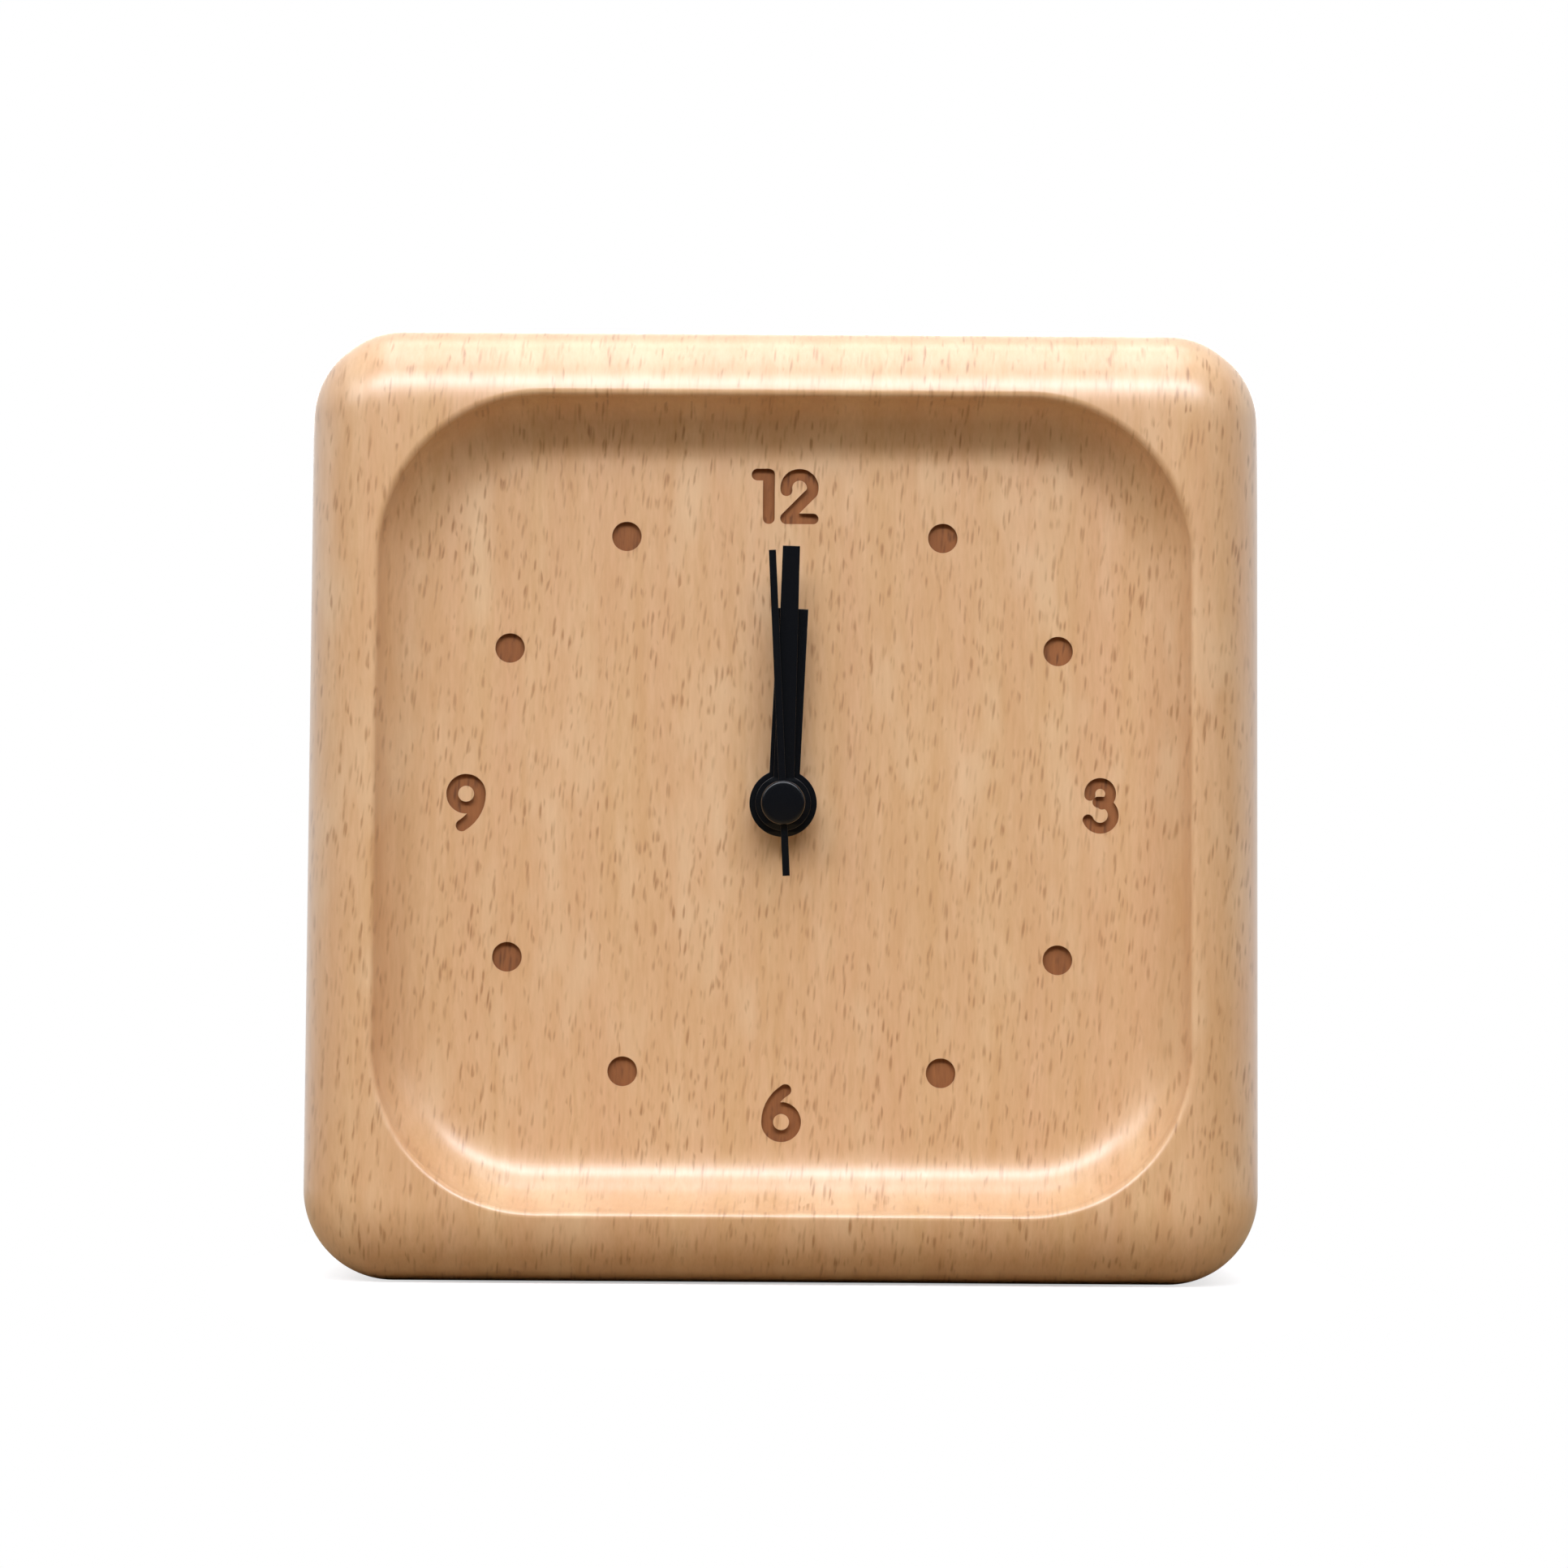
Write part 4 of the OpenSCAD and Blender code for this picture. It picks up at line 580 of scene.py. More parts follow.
# faces along each stretch of the case's skin, from the dial to the back
CASE_STEPS = {"cove": 21, "mouth": 8, "face": 9, "round": 12, "side": 5, "back": 6}
MARKS = {"across": 33.3, "up": 32.4, "dot_d": 3.1, "height": 5.85, "depth": 0.5, "cut_from": 0.6}
RING_VALUES = ("half", "radius", "depth", "crowned")
OUTLINE_VALUES = ("sign x", "sign z", "way x", "way z")


def arc(first_deg, last_deg, steps):
    """Sine and one less cosine at even angles: how far an arc of radius one has run along and across."""
    for i in range(steps + 1):
        a = math.radians(first_deg + (last_deg - first_deg) * i / steps)
        yield math.sin(a), 1 - math.cos(a)


def case_rings(mouth_round):
    """Rings of the case's skin as (half width, corner radius, depth, share of the crown's own height).

    They run from the hole in the dial over the dish, rim, side, back and pocket, and back to the hole.
    """
    c, steps = CASE, CASE_STEPS
    dial_y = FRONT_Y + c["dish_depth"]
    # two rings within the flat dial keep its faces from growing long and thin
    rings = [(c["hole_r"], c["hole_r"], dial_y, 0), (8.0, 6.0, dial_y, 0), (20.0, 8.0, dial_y, 0)]
    flat, flat_r = c["mouth_half"] - c["cove_r"], c["mouth_r"] - c["cove_r"]
    rings.append((flat - c["border"], flat_r - c["border"], dial_y, 0))
    for out, rise in arc(0, c["cove_to_deg"], steps["cove"]):
        rings.append((flat + c["cove_r"] * out, flat_r + c["cove_r"] * out, dial_y - c["cove_r"] * rise, 0))
    for rise, out in arc(0, 90, steps["mouth"]):
        out, drop = mouth_round * out, mouth_round * (1 - rise)
        rings.append((c["mouth_half"] + out, c["mouth_r"] + out, drop, 1))
    # the crowned face between the mouth and the round of the rim
    mouth, mouth_r = rings[-1][:2]
    inner, inner_r = c["half"] - c["crown_r"], c["corner_r"] - c["crown_r"]
    round_from = c["crown_r"] * math.sin(math.radians(c["crown_from_deg"]))
    for t in (i / steps["face"] for i in range(1, steps["face"])):
        rings.append((mouth + (inner + round_from - mouth) * t, mouth_r + (inner_r + round_from - mouth_r) * t,
                      0, 1))
    for out, drop in arc(c["crown_from_deg"], 90, steps["round"]):
        out, drop = c["crown_r"] * out, c["crown_r"] * drop
        rings.append((inner + out, inner_r + out, FRONT_Y + drop, 0))
    side_from, side_to = FRONT_Y + c["crown_r"], BACK_Y - c["back_r"]
    for i in range(1, steps["side"] + 1):
        rings.append((c["half"], c["corner_r"], side_from + (side_to - side_from) * i / steps["side"], 0))
    for back, inset in list(arc(0, 90, steps["back"]))[1:]:
        inset *= c["back_r"]
        rings.append((c["half"] - inset, c["corner_r"] - inset, side_to + c["back_r"] * back, 0))
    edge = c["back_r"] + c["border"]
    rings.append((c["half"] - edge, c["corner_r"] - edge, BACK_Y, 0))
    for out, depth in ((c["arris"], 0.0), (c["arris"] * 0.3, c["arris"] * 0.3), (0.0, c["arris"])):
        rings.append((c["rebate_half"] + out, c["rebate_r"] + out, BACK_Y - depth, 0))
    floor_y = dial_y + c["web"]
    rings += [(c["rebate_half"], c["rebate_r"], c["rebate_y"], 0),
              (c["pocket_half"], c["pocket_r"], c["rebate_y"], 0),
              (c["pocket_half"], c["pocket_r"], floor_y, 0), (c["hole_r"], c["hole_r"], floor_y, 0)]
    return rings


def outline_points(corner_steps=28, side_steps=14):
    """Once round a rounded square: the corner's signs for each point, and the direction from its centre."""
    points = []
    corners = [(1, 1), (-1, 1), (-1, -1), (1, -1)]
    for k, (sx, sz) in enumerate(corners):
        for x, z in circle_points(1.0, corner_steps + 1, 90 * k, 90):
            points.append((sx, sz, x, z))
        nx, nz = corners[(k + 1) % 4]
        for t in (i / side_steps for i in range(1, side_steps)):
            points.append((sx + (nx - sx) * t, sz + (nz - sz) * t, x, z))
    return points


def table_object(name, columns, rows):
    """Points that carry rows of numbers in named attributes, for a node tree to read."""
    table = new_object(name, mesh_from(name, [(0, 0, 0)] * len(rows), []))
    for k, column in enumerate(columns):
        attribute = table.data.attributes.new(column, "FLOAT", "POINT")
        attribute.data.foreach_set("value", [float(row[k]) for row in rows])
    return table


def ring_tree():
    """Skins a closed tube of rounded-square rings; a ring may follow the height of the crowned rim."""
    tree, v = new_tree("Rounded square rings", Object=("Rings", "Outline"), Int=("Ring count", "Outline count"),
                       Float=("Half width", "Corner radius", "Crown radius", "Front depth", "Centre height"))
    # the tube's last ring and last column fall on its first ones and are merged at the end
    v["index"] = add_node(tree, "GeometryNodeInputIndex")
    work_out(tree, v, (
        ("across", "ADD", "Outline count", 1.0),
        ("along", "ADD", "Ring count", 1.0),
        ("line", "FLOOR", ("DIVIDE", ("ADD", "index", 0.5), "across")),
        ("row", "FLOORED_MODULO", "line", "Ring count"),
        ("column", "FLOORED_MODULO", ("SUBTRACT", "index", ("MULTIPLY", "line", "across")), "Outline count"),
    ))
    grid = add_node(tree, "GeometryNodeMeshGrid", {
        "Vertices X": add_node(tree, "FunctionNodeFloatToInt", v["along"]),
        "Vertices Y": add_node(tree, "FunctionNodeFloatToInt", v["across"])})
    for table, at, columns in (("Rings", "row", RING_VALUES), ("Outline", "column", OUTLINE_VALUES)):
        source = add_node(tree, "GeometryNodeObjectInfo", v[table]).outputs["Geometry"]
        whole = add_node(tree, "FunctionNodeFloatToInt", v[at])
        for column in columns:
            attribute = add_node(tree, "GeometryNodeInputNamedAttribute", column, data_type="FLOAT")
            v[column] = add_node(tree, "GeometryNodeSampleIndex", source, attribute, whole, data_type="FLOAT",
                                 domain="POINT")
    work_out(tree, v, (
        ("straight", "SUBTRACT", "half", "radius"),
        ("core", "SUBTRACT", "Half width", "Corner radius"),
    ))
    for axis in "xz":
        work_out(tree, v, (
            (axis, "ADD", ("MULTIPLY", f"sign {axis}", "straight"), ("MULTIPLY", f"way {axis}", "radius")),
            (f"past {axis}", "MAXIMUM", ("SUBTRACT", ("ABSOLUTE", axis), "core"), 0.0),
        ))
    # the front lies flat inside, and drops by a quarter round towards the edge
    work_out(tree, v, (
        ("away", "SQRT", ("ADD", ("MULTIPLY", "past x", "past x"), ("MULTIPLY", "past z", "past z"))),
        ("out", "MAXIMUM", ("SUBTRACT", "away", ("SUBTRACT", "Corner radius", "Crown radius")), 0.0),
        ("left", "SUBTRACT", ("MULTIPLY", "Crown radius", "Crown radius"), ("MULTIPLY", "out", "out")),
        ("drop", "SUBTRACT", "Crown radius", ("SQRT", ("MAXIMUM", "left", 0.0))),
        ("y", "ADD", "depth", ("MULTIPLY", "crowned", ("ADD", "Front depth", "drop"))),
        ("height", "ADD", "z", "Centre height"),
    ))
    place = add_node(tree, "ShaderNodeCombineXYZ", v["x"], v["y"], v["height"])
    metres = add_node(tree, "ShaderNodeVectorMath", place, MM, operation="SCALE")
    skin = add_node(tree, "GeometryNodeSetPosition", {"Geometry": grid, "Position": metres})
    merged = add_node(tree, "GeometryNodeMergeByDistance", {"Geometry": skin, "Distance": 0.0005 * MM})
    return close_tree(tree, merged, v["Finish"])


def dots_tree():
    """Round studs on an oval at the eight hours that have no numeral."""
    tree, v = new_tree("Hour dots", Float=("Across", "Up", "Diameter", "Thickness", "Depth", "Centre height"))
    points = add_node(tree, "GeometryNodeMeshLine", {"Count": 12})
    v["hour"] = add_node(tree, "GeometryNodeInputIndex")
    work_out(tree, v, (
        ("angle", "MULTIPLY", "hour", math.radians(30)),
        ("x", "MULTIPLY", ("SINE", "angle"), "Across"),
        ("z", "ADD", ("MULTIPLY", ("COSINE", "angle"), "Up"), "Centre height"),
        ("third", "MODULO", "hour", 3.0),
        ("radius", "DIVIDE", "Diameter", 2.0),
    ))
    place = add_node(tree, "ShaderNodeCombineXYZ", v["x"], v["Depth"], v["z"])
    placed = add_node(tree, "GeometryNodeSetPosition", {"Geometry": points, "Position": place})
    numbered = add_node(tree, "FunctionNodeCompare", v["third"], 0.5, operation="LESS_THAN")
    left = add_node(tree, "GeometryNodeDeleteGeometry", placed, numbered)
    stud = add_node(tree, "GeometryNodeMeshCylinder", {
        "Vertices": 64, "Radius": v["radius"], "Depth": v["Thickness"]})
    studs = add_node(tree, "GeometryNodeInstanceOnPoints", {
        "Points": left, "Instance": stud, "Rotation": (math.radians(90), 0, 0)})
    scaled = add_node(tree, "GeometryNodeTransform", {"Geometry": studs, "Scale": (MM, MM, MM)})
    return close_tree(tree, scaled, v["Finish"])


def numeral_prisms(name, carved_y, floor_y, above_y):
    """Prisms over the floors of the numerals' recesses in the CAD case, which meet in clean outlines."""
    places = [(x * MARKS["across"], AXIS_Z + z * MARKS["up"]) for x, z in ((0, 1), (1, 0), (0, -1), (-1, 0))]

    def in_numeral(face):
        x, z = (face.calc_center_median() / MM).xz
        return (min(math.dist((x, z), place) for place in places) < MARKS["height"]
                and all(abs(v.co.y / MM - carved_y) < 0.001 for v in face.verts))

    piece = new_object(name)
    with opened(piece.data) as work:
        work.from_mesh(NODES["wooden_case"].data)
        bmesh.ops.remove_doubles(work, verts=work.verts, dist=0.001 * MM)
        bmesh.ops.delete(work, geom=[f for f in work.faces if not in_numeral(f)], context="FACES")
        bmesh.ops.dissolve_limit(work, angle_limit=math.radians(0.1), verts=work.verts, edges=work.edges)
        grown = bmesh.ops.extrude_face_region(work, geom=work.faces[:], use_keep_orig=True)["geom"]
        lifted = {v for v in grown if isinstance(v, bmesh.types.BMVert)}
        for vert in work.verts:
            vert.co.y += ((above_y if vert in lifted else floor_y) - carved_y) * MM
        bmesh.ops.recalc_face_normals(work, faces=work.faces)
    return piece


def marks_cutter(dial_y, floor_y):
    """Solids that engrave the dots and numerals, from above the dial to their floor."""
    above_y = dial_y - MARKS["cut_from"]
    dots = shaped(new_object("cut_dots"), dots_tree(), {
        "Across": MARKS["across"], "Up": MARKS["up"], "Diameter": MARKS["dot_d"],
        "Thickness": floor_y - above_y, "Depth": (above_y + floor_y) / 2, "Centre height": AXIS_Z,
        "Finish": FINISHES["engraved_beech"],
    })
    numerals = numeral_prisms("cut_numerals", dial_y + MARKS["depth"], floor_y, above_y)
    return joined("cut_marks", [dots, numerals])


class CLOCK_OT_wooden_case(bpy.types.Operator):
    """Build the beech block with its dished dial and engraved hour marks"""
    bl_idname = "clock.wooden_case"
    bl_label = "Wooden case"

    def execute(self, context):
        chosen = context.scene.clock_case
        rings, outline = case_rings(chosen.mouth_rounding / MM), outline_points()
        tables = [table_object("rings", RING_VALUES, rings), table_object("outline", OUTLINE_VALUES, outline)]
        case = shaped(new_object("beech_case"), ring_tree(), {
            "Rings": tables[0], "Outline": tables[1], "Ring count": len(rings),
            "Outline count": len(outline), "Half width": CASE["half"], "Corner radius": CASE["corner_r"],
            "Crown radius": CASE["crown_r"], "Front depth": FRONT_Y, "Centre height": AXIS_Z,
            "Finish": FINISHES["lacquered_beech"],
        })
        for table in tables:
            bpy.data.objects.remove(table)
        outward(case)
        dial_y = FRONT_Y + CASE["dish_depth"]
        floor_y = dial_y + chosen.engraving_depth / MM
        cut(case, marks_cutter(dial_y, floor_y))
        dress(case, FINISHES["lacquered_beech"], FINISHES["engraved_beech"])
        # the marks are what lies below the flat dial, apart from the hole for the bush
        flat, hole = CASE["mouth_half"] - CASE["cove_r"], CASE["hole_r"] + 1
        for polygon in case.data.polygons:
            x, y, z = (v / MM for v in polygon.center)
            inside = max(abs(x), abs(z - AXIS_Z)) < flat and math.hypot(x, z - AXIS_Z) > hole
            polygon.material_index = int(inside and dial_y + 0.02 < y < floor_y + 0.05)
        shade(case, 30.0)
        attach(case, "case", "wooden_case")
        return {"FINISHED"}


# Hands


# length, width at the tip and at the hub, diameter of the hub, radius of the bore and angle past twelve
HANDS = (
    ("hour_hand", "hours", 20.4, 3.2, 3.2, 7.05, 1.5, 2.6),
    ("minute_hand", "minutes", 26.9, 1.8, 2.15, 5.8, 0.95, 1.5),
    ("alarm_hand", "alarm_time", 16.0, 1.4, 1.4, 6.0, 2.05, 2.6),
)
SECOND = {"half": 0.375, "length": 26.4, "tail": 7.6, "hub_r": 1.5, "hub_from_deg": 14.5, "bore_r": 0.45,
          "angle": -2.8}
CAP = {"edge_r": 0.34, "crown": 0.05}


def hand_outline(length, tip, base, hub_d):
    """A straight blade that rises from a round hub."""
    hub, half = hub_d / 2, base / 2
    start = math.degrees(math.atan2(math.sqrt(hub * hub - half * half), -half))
    sweep = 360 - 2 * math.degrees(math.asin(half / hub))
    return [(tip / 2, length), (-tip / 2, length)] + circle_points(hub, 56, start, sweep)


def second_outline():
    """A thin blade with a tail, and a round hub between them."""
    half, beside = SECOND["half"], SECOND["hub_from_deg"]
    sides = [circle_points(SECOND["hub_r"], 24, start + beside, 180 - 2 * beside) for start in (90, 270)]
    length, tail = SECOND["length"], SECOND["tail"]
    return [(half, length), (-half, length), *sides[0], (-half, -tail), (half, -tail), *sides[1]]


def black_hand(node, body, outline, bore, angle):
    low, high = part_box(node)
    loops = [turned(points, angle, AXIS_Z) for points in (outline, bore)]
    finish_piece(plate(f"{node}_black", loops, low.y / MM, high.y / MM), body, "black_hands", node)


class CLOCK_OT_hands(bpy.types.Operator):
    """Build the hour, minute, second and alarm hands and the cap over the hub"""
    bl_idname = "clock.hands"
    bl_label = "Hands"

    def execute(self, context):
        for node, body, length, tip, base, hub_d, bore_r, angle in HANDS:
            outline = hand_outline(length, tip, base, hub_d)
            black_hand(node, body, outline, circle_points(bore_r, 40), angle)
        black_hand("second_hand", "seconds", second_outline(), circle_points(SECOND["bore_r"], 24),
                   SECOND["angle"])
        low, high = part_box("second_hand_cap")
        front, back, r = low.y / MM, high.y / MM, (high.x - low.x) / 2 / MM
        edge, crown = CAP["edge_r"], CAP["crown"]
        profile = [(0, front), (r * 0.45, front + 0.3 * crown), (r - edge - 0.12, front + crown)]
        profile += [(r - edge + edge * out, front + crown + edge * drop)
                    for out, drop in list(arc(0, 90, 7))[1:]]
        profile += [(r, back - 0.05), (r - 0.05, back), (0, back)]
        cap = lathe("second_hand_cap_black", profile, (0, AXIS_Z), 96)
        finish_piece(cap, "seconds", "black_hands", "second_hand_cap", 40)
        return {"FINISHED"}


# Back


# node, name of its piece, body, finish and width of its rounded edges
MOULDINGS = (
    ("rear_cover", "rear_cover_moulding", "case", "black_rear_plastic", 0.2),
    ("battery_cover", "battery_door_moulding", "battery_door", "black_rear_plastic", 0.18),
    ("alarm_switch", "alarm_switch_button", "switch", "ivory_plastic", 0.1),
)
KNOB = {"stem_r": 2.2, "bore_r": 1.0, "bore_depth": 2.9, "head": 5.8, "dish": 0.45, "dish_r": 2.0,
        "flutes": 18, "flute_depth": 0.5, "flute_band": 0.9}
SCREW = {"head_r": 2.5, "shank_r": 1.3, "length": 12.0, "point": 2.5, "head_depth": 1.35}
CROSS = {"length": 2.7, "width": 0.52, "depth": 0.9, "turn": 20.0}


class CLOCK_OT_rear_cover(bpy.types.Operator):
    """Round the edges of the moulded rear cover, the battery door and the alarm switch"""
    bl_idname = "clock.rear_cover"
    bl_label = "Rear cover"

    def execute(self, context):
        for node, name, body, slot, width in MOULDINGS:
            finish_piece(softened_copy(node, name, width), body, slot, node, 25.0)
        return {"FINISHED"}


def flutes_tree():
    """Presses evenly spaced grooves into the side of a turned knob."""
    tree, v = new_tree("Knob flutes", Float=("Centre X", "Centre Z", "Count", "Depth", "Inner radius",
                                             "Outer radius"))
    place = add_node(tree, "ShaderNodeSeparateXYZ", add_node(tree, "GeometryNodeInputPosition")).outputs
    v.update(X=place["X"], Z=place["Z"])
    work_out(tree, v, (
        ("x", "SUBTRACT", "X", "Centre X"),
        ("z", "SUBTRACT", "Z", "Centre Z"),
        ("radius", "SQRT", ("ADD", ("MULTIPLY", "x", "x"), ("MULTIPLY", "z", "z"))),
        ("cosine", "COSINE", ("MULTIPLY", ("ARCTAN2", "z", "x"), "Count")),
        ("wave", "POWER", ("MULTIPLY", ("ADD", "cosine", 1.0), 0.5), 3.0),
    ))
    v["share"] = add_node(tree, "ShaderNodeMapRange", v["radius"], v["Inner radius"], v["Outer radius"])
    work_out(tree, v, (
        ("press", "MULTIPLY", ("MULTIPLY", "wave", "share"), "Depth"),
        ("scale", "DIVIDE", ("SUBTRACT", "radius", "press"), ("MAXIMUM", "radius", 1e-6)),
        ("new x", "ADD", "Centre X", ("MULTIPLY", "x", "scale")),
        ("new z", "ADD", "Centre Z", ("MULTIPLY", "z", "scale")),
    ))
    moved = add_node(tree, "ShaderNodeCombineXYZ", v["new x"], place["Y"], v["new z"])
    fluted = add_node(tree, "GeometryNodeSetPosition", {"Geometry": v["Geometry"], "Position": moved})
    return close_tree(tree, fluted, v["Finish"])


class CLOCK_OT_knobs(bpy.types.Operator):
    """Build the two fluted setting knobs"""
    bl_idname = "clock.knobs"
    bl_label = "Setting knobs"

    def execute(self, context):
        tree = flutes_tree()
        stem, bore, dish = KNOB["stem_r"], KNOB["bore_r"], KNOB["dish"]
        for node, body in (("alarm_knob", "alarm_setting"), ("time_knob", "time_setting")):
            low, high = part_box(node)
            shaft_low, shaft_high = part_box(node.replace("knob", "shaft"))
            x, z = ((shaft_low + shaft_high) / 2 / MM).xz
            r, y0, y1 = (high.z - low.z) / 2 / MM, low.y / MM, high.y / MM
            head, bottom = y1 - KNOB["head"], y1 - KNOB["bore_depth"]
            # stem, side with softened edges, rim, dished top and the bore for the shaft
            knob = lathe(f"{node}_fluted", [
                (bore, y0), (stem, y0), (stem, head), (r - 0.3, head), (r, head + 0.3), (r, head + 1.5),
                (r, head + 3.0), (r, y1 - 0.7), (r - 0.2, y1 - 0.2), (r - 0.7, y1), (r - 1.3, y1),
                (r - 1.7, y1 - 0.35), (KNOB["dish_r"], y1 - dish), (0, y1 - dish), (0, bottom), (bore, bottom),
                (bore, y0)], (x, z), 216)
            shaped(knob, tree, {
                "Centre X": x * MM, "Centre Z": z * MM, "Count": float(KNOB["flutes"]),
                "Depth": KNOB["flute_depth"] * MM, "Inner radius": (r - KNOB["flute_band"]) * MM,
                "Outer radius": r * MM, "Finish": FINISHES["black_gloss_plastic"]})
            finish_piece(knob, body, "black_gloss_plastic", node, 40)
        return {"FINISHED"}


def corners_tree():
    """Copies a piece to four corners about an axis along Y, each copy stopped at its own angle."""
    tree, v = new_tree("Screws at four corners", Float=("Spread", "Centre height"))
    points = add_node(tree, "GeometryNodeMeshGrid", v["Spread"], v["Spread"], 2, 2)
    upright = add_node(tree, "GeometryNodeTransform", {"Geometry": points, "Rotation": (math.radians(90), 0, 0)})
    lift = add_node(tree, "ShaderNodeCombineXYZ", {"Z": v["Centre height"]})
    raised = add_node(tree, "GeometryNodeSetPosition", {"Geometry": upright, "Offset": lift})
    turn = add_node(tree, "FunctionNodeRandomValue", {2: 0.0, 3: math.radians(90), "Seed": 5}, data_type="FLOAT")
    copies = add_node(tree, "GeometryNodeInstanceOnPoints", {
        "Points": raised, "Instance": v["Geometry"],
        "Rotation": add_node(tree, "ShaderNodeCombineXYZ", {"Y": turn})})
    return close_tree(tree, copies, v["Finish"])


class CLOCK_OT_screws(bpy.types.Operator):
    """Build the four countersunk screws of the rear cover"""
    bl_idname = "clock.screws"
    bl_label = "Cover screws"

    def execute(self, context):
        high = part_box("rear_cover_screws")[1]
        out, r, shank = high.y / MM, SCREW["head_r"], SCREW["shank_r"]
        tip = out - SCREW["length"]
        # point, shank, cone of the head and its thin rim
        screw = lathe("cover_screws_cross_head", [
            (0, tip), (shank, tip + SCREW["point"]), (shank, out - SCREW["head_depth"]), (r - 0.05, out - 0.08),
            (r, out - 0.03), (r - 0.05, out), (0, out)], segments=48)
        x, z = CROSS["length"] / 2, CROSS["width"] / 2
        cut(screw, joined("cut_cross", [
            prism("cut_slot", turned([(-x, -z), (x, -z), (x, z), (-x, z)], -turn), out - CROSS["depth"], out + 0.5)
            for turn in (CROSS["turn"], CROSS["turn"] + 90)]))
        rounded_edges(screw, 0.06, 2, 35.0)
        shaped(screw, corners_tree(), {
            "Spread": 2 * (high.x - r * MM), "Centre height": AXIS_Z * MM,
            "Finish": FINISHES["zinc_plated_steel"]})
        finish_piece(screw, "case", "zinc_plated_steel", "rear_cover_screws", 35)
        return {"FINISHED"}


class CLOCK_OT_movement(bpy.types.Operator):
    """Give the movement's shells, wheels, motor, board and contacts their finishes"""
    bl_idname = "clock.movement"
    bl_label = "Movement"

    def execute(self, context):
        slots = {s["node"]: s["material_slot"] for s in frame["record"]["subparts"]}
        for name, node in NODES.items():
            dress(node, FINISHES[slots[name]])
        return {"FINISHED"}


# Stage


VIEW = {
    "distance": 500.0, "below_deg": 1.34, "pitch_deg": 4.07, "roll_deg": -0.37, "sensor": 36.0,
    "image": 1932, "px_per_mm": 11.67, "plane_y": -11.0, "centre_px": (964.0, 991.0),
}
WHITE = (1.0, 1.0, 1.0, 1.0)
# where mirrored rays come to see white: as the share of a ray that points to the back, and in metres behind the dial
SWEEP_SPAN, FLOOR_SPAN = (-0.35, 0.15), (0.0, 0.2)
FLOOR_HALF = 3.0
FLOOR_COLOUR = "F1EFF1"
FLOOR_GLOW = 0.50
# the oval round the clock, in metres across, over which its shadow fades to plain white
FADE_OVAL, FADE_SPAN = (1.0, 0.55, 1.0), (0.030, 0.060)
# what the floor throws back close to the clock and farther off, and the metres between which it changes
FLOOR_BOUNCE, BOUNCE_SPAN = ("A69376", "62523C"), (0.06, 0.25)
FILL = 0.05
LIGHTS_AIM = (0, 0, 50)
# name, place and size in millimetres, power in watts and colour of each soft light
LIGHTS = (
    ("front_softbox", (0, -585, 596), (1150, 400), 4.9, "FFFFFF"),
    ("front_softbox_core", (0, -578, 589), (1050, 120), 4.0, "E6F0FF"),
    ("top_softbox", (0, -150, 836), (600, 420), 2.5, "F2F6FF"),
    ("rear_softbox", (0, 740, 330), (700, 320), 4.0, "FFFFFF"),
    ("top_rear_strip", (0, 207, 823), (560, 160), 0.9, "FFFFFF"),
    ("left_key", (-600, -346, 450), (300, 300), 1.1, "FFFFFF"),
    ("right_fill", (600, -346, 350), (300, 300), 0.3, "FFFFFF"),
)


def place_camera():
    """A camera square to the dial, a little low, shifted so that the clock sits where the photograph has it."""
    v = VIEW
    below, pitch = math.radians(v["below_deg"]), math.radians(v["pitch_deg"])
    data = bpy.data.cameras.new("camera")
    camera = new_object("camera", data)
    bpy.context.scene.camera = camera
    reach = v["distance"] * v["px_per_mm"] / v["image"]
    data.sensor_fit = "HORIZONTAL"
    data.sensor_width = v["sensor"]
    data.lens = v["sensor"] * reach
    data.clip_start = 0.01
    data.clip_end = 20.0
    off_x, off_y = (c / v["image"] - 0.5 for c in v["centre_px"])
    data.shift_x = -off_x
    data.shift_y = off_y + reach * math.tan(below - pitch)
    height = AXIS_Z - v["distance"] * math.tan(below)
    camera.location = (0.0, (v["plane_y"] - v["distance"]) * MM, height * MM)
    camera.rotation_euler = Euler((math.radians(90) + pitch, math.radians(v["roll_deg"]), 0.0), "XYZ")


def area_light(name, at_mm, size_mm, watts, colour):
    data = bpy.data.lights.new(name, "AREA")
    data.shape = "RECTANGLE"
    data.size, data.size_y = size_mm[0] * MM, size_mm[1] * MM
    data.energy = watts
    data.color = linear(colour)[:3]
    light = new_object(name, data)
    light.location = Vector(at_mm) * MM
    light.rotation_euler = (Vector(LIGHTS_AIM) - Vector(at_mm)).to_track_quat("-Z", "Y").to_euler()
    light.visible_camera = False


def blank_tree(owner):
    """The empty node tree of a world or a material."""
    owner.use_nodes = True
    owner.node_tree.nodes.clear()
    return owner.node_tree


def ray_values(tree, behind):
    """Light Path's outputs, one for rays that go straight to the camera, and one for all that see the look.

    The camera, rays through glass and mirrored rays from behind the clock see the surroundings as they look.
    """
    v = {"behind": behind, **dict(add_node(tree, "ShaderNodeLightPath").outputs.items())}
    work_out(tree, v, (
        ("straight", "MAXIMUM", "Is Camera Ray", "Is Transmission Ray"),
        ("seen", "MAXIMUM", "straight", ("MULTIPLY", "Is Glossy Ray", "behind")),
    ))
    return v


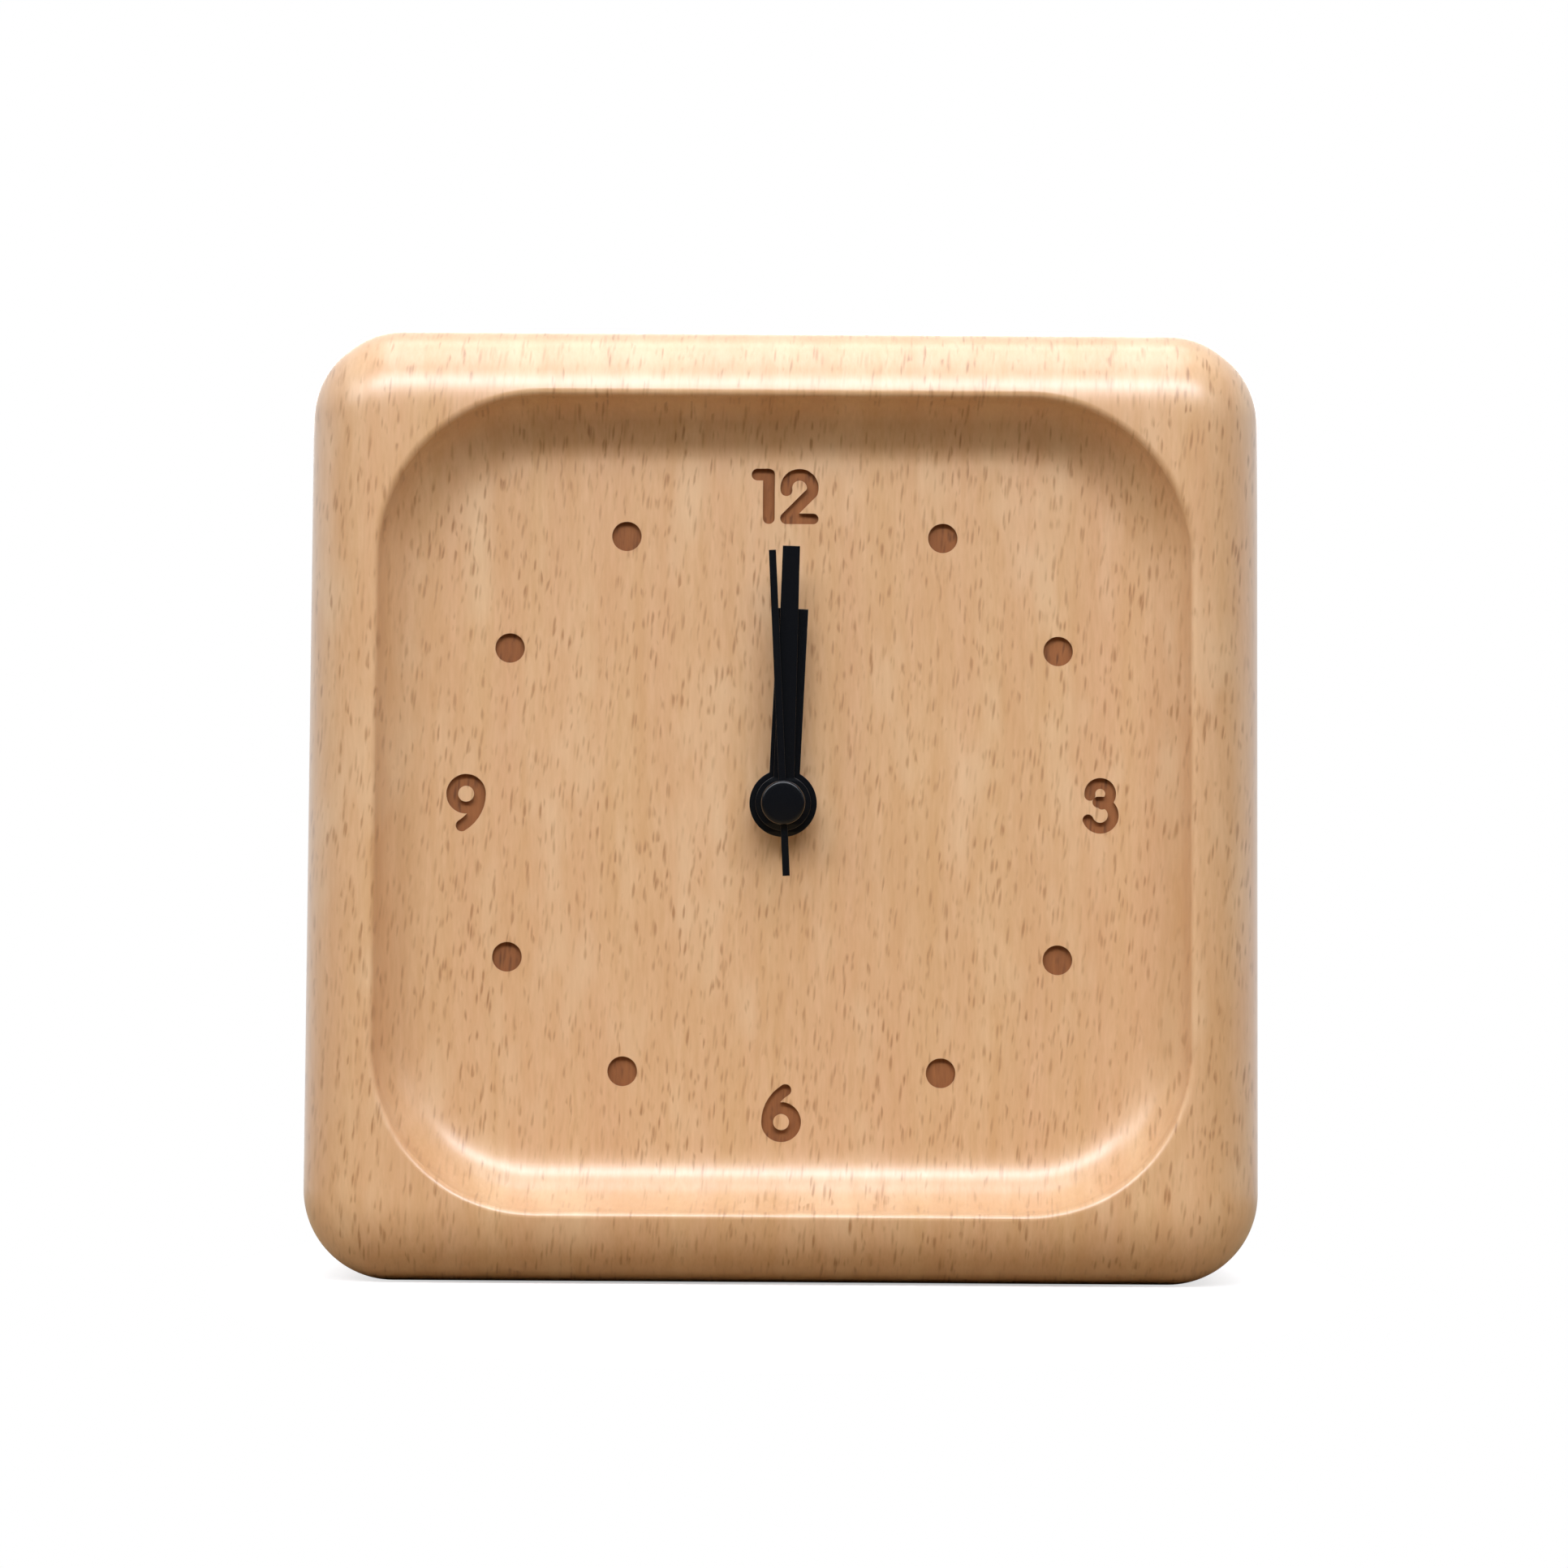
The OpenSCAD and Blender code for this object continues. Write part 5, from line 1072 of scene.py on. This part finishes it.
def white_room():
    """A dim room that looks white, its white sweep standing behind the clock for mirrored rays."""
    world = bpy.data.worlds.new("studio")
    tree = blank_tree(world)
    way = add_node(tree, "ShaderNodeTexCoord").outputs["Generated"]
    backward = add_node(tree, "ShaderNodeSeparateXYZ", way).outputs["Y"]
    v = ray_values(tree, add_node(tree, "ShaderNodeMapRange", backward, *SWEEP_SPAN))
    fill = add_node(tree, "ShaderNodeBackground", WHITE, FILL)
    white = add_node(tree, "ShaderNodeBackground", WHITE, 1.0)
    add_node(tree, "ShaderNodeOutputWorld", add_node(tree, "ShaderNodeMixShader", v["seen"], fill, white))
    return world


def pale_floor():
    """Matt pale floor paint: holds the clock's soft shadow, and fades to plain white round it."""
    material = bpy.data.materials.new("pale_floor")
    tree = blank_tree(material)
    place = add_node(tree, "ShaderNodeTexCoord").outputs["Object"]
    back = add_node(tree, "ShaderNodeSeparateXYZ", place).outputs["Y"]
    v = ray_values(tree, add_node(tree, "ShaderNodeMapRange", back, *FLOOR_SPAN))
    away = add_node(tree, "ShaderNodeVectorMath", place, operation="LENGTH")
    oval = add_node(tree, "ShaderNodeVectorMath", place, FADE_OVAL, operation="MULTIPLY")
    beside = add_node(tree, "ShaderNodeVectorMath", oval, operation="LENGTH")
    # plain white away from the clock, so that its shadow fades out and the floor's far edge doesn't show
    v["fade"] = add_node(tree, "ShaderNodeMapRange", beside, *FADE_SPAN)
    work_out(tree, v, [("far", "MULTIPLY", "fade", "seen")])
    pale = add_node(tree, "ShaderNodeBsdfDiffuse", linear(FLOOR_COLOUR))
    bright = add_node(tree, "ShaderNodeAddShader", pale, add_node(tree, "ShaderNodeEmission", WHITE, FLOOR_GLOW))
    # the floor throws back less light than its look would, and warmer, as the undersides show
    warm = laid_over(tree, linear(FLOOR_BOUNCE[0]), linear(FLOOR_BOUNCE[1]), away, *BOUNCE_SPAN)
    dim = add_node(tree, "ShaderNodeBsdfDiffuse", warm)
    near = add_node(tree, "ShaderNodeMixShader", v["straight"], dim, bright)
    white = add_node(tree, "ShaderNodeEmission", WHITE, 1.0)
    add_node(tree, "ShaderNodeOutputMaterial", add_node(tree, "ShaderNodeMixShader", v["far"], near, white))
    return material


class CLOCK_OT_stage(bpy.types.Operator):
    """Set up the pale floor, white surroundings, soft lights and camera"""
    bl_idname = "clock.stage"
    bl_label = "Stage"

    def execute(self, context):
        context.scene.view_settings.view_transform = "Standard"
        context.scene.world = white_room()
        corners = [(x * FLOOR_HALF, y * FLOOR_HALF, 0) for x, y in ((-1, -1), (1, -1), (1, 1), (-1, 1))]
        floor = new_object("floor", mesh_from("floor", corners, [[0, 1, 2, 3]]))
        dress(floor, pale_floor())
        for light in LIGHTS:
            area_light(*light)
        place_camera()
        return {"FINISHED"}


# Settings and panel


class ClockCaseSettings(bpy.types.PropertyGroup):
    """Sizes and colours of the wooden case"""
    mouth_rounding: FloatProperty(
        name="Mouth rounding", description="Radius of the softened edge of the dish",
        default=CASE["mouth_round"] * MM, min=0.0, unit="LENGTH")
    engraving_depth: FloatProperty(
        name="Engraving depth", description="Depth of the dots and numerals",
        default=MARKS["depth"] * MM, min=0.0, unit="LENGTH")
    beech_colour: FloatVectorProperty(
        name="Beech", description="Light tone of the wood", subtype="COLOR", size=4,
        default=linear(BEECH["light"]))


class CLOCK_PT_panel(bpy.types.Panel):
    """Buttons that build the clock piece by piece"""
    bl_idname = "CLOCK_PT_panel"
    bl_label = "Beech alarm clock"
    bl_space_type = "VIEW_3D"
    bl_region_type = "UI"
    bl_category = "Clock"

    def draw(self, context):
        for operator in OPERATORS:
            self.layout.operator(operator.bl_idname)


OPERATORS = (CLOCK_OT_movement, CLOCK_OT_wooden_case, CLOCK_OT_hands, CLOCK_OT_rear_cover, CLOCK_OT_knobs,
             CLOCK_OT_screws, CLOCK_OT_stage)
CLASSES = (ClockCaseSettings, *OPERATORS, CLOCK_PT_panel)
FINISHES = {}


def register():
    for cls in CLASSES:
        bpy.utils.register_class(cls)
    bpy.types.Scene.clock_case = PointerProperty(type=ClockCaseSettings)


def unregister():
    del bpy.types.Scene.clock_case
    for cls in reversed(CLASSES):
        bpy.utils.unregister_class(cls)


def main():
    register()
    FINISHES.update(make_materials(bpy.context.scene.clock_case.beech_colour))
    bpy.ops.clock.movement()
    bpy.ops.clock.wooden_case()
    bpy.ops.clock.hands()
    bpy.ops.clock.rear_cover()
    bpy.ops.clock.knobs()
    bpy.ops.clock.screws()
    bpy.ops.clock.stage()


if __name__ == "__main__":
    main()
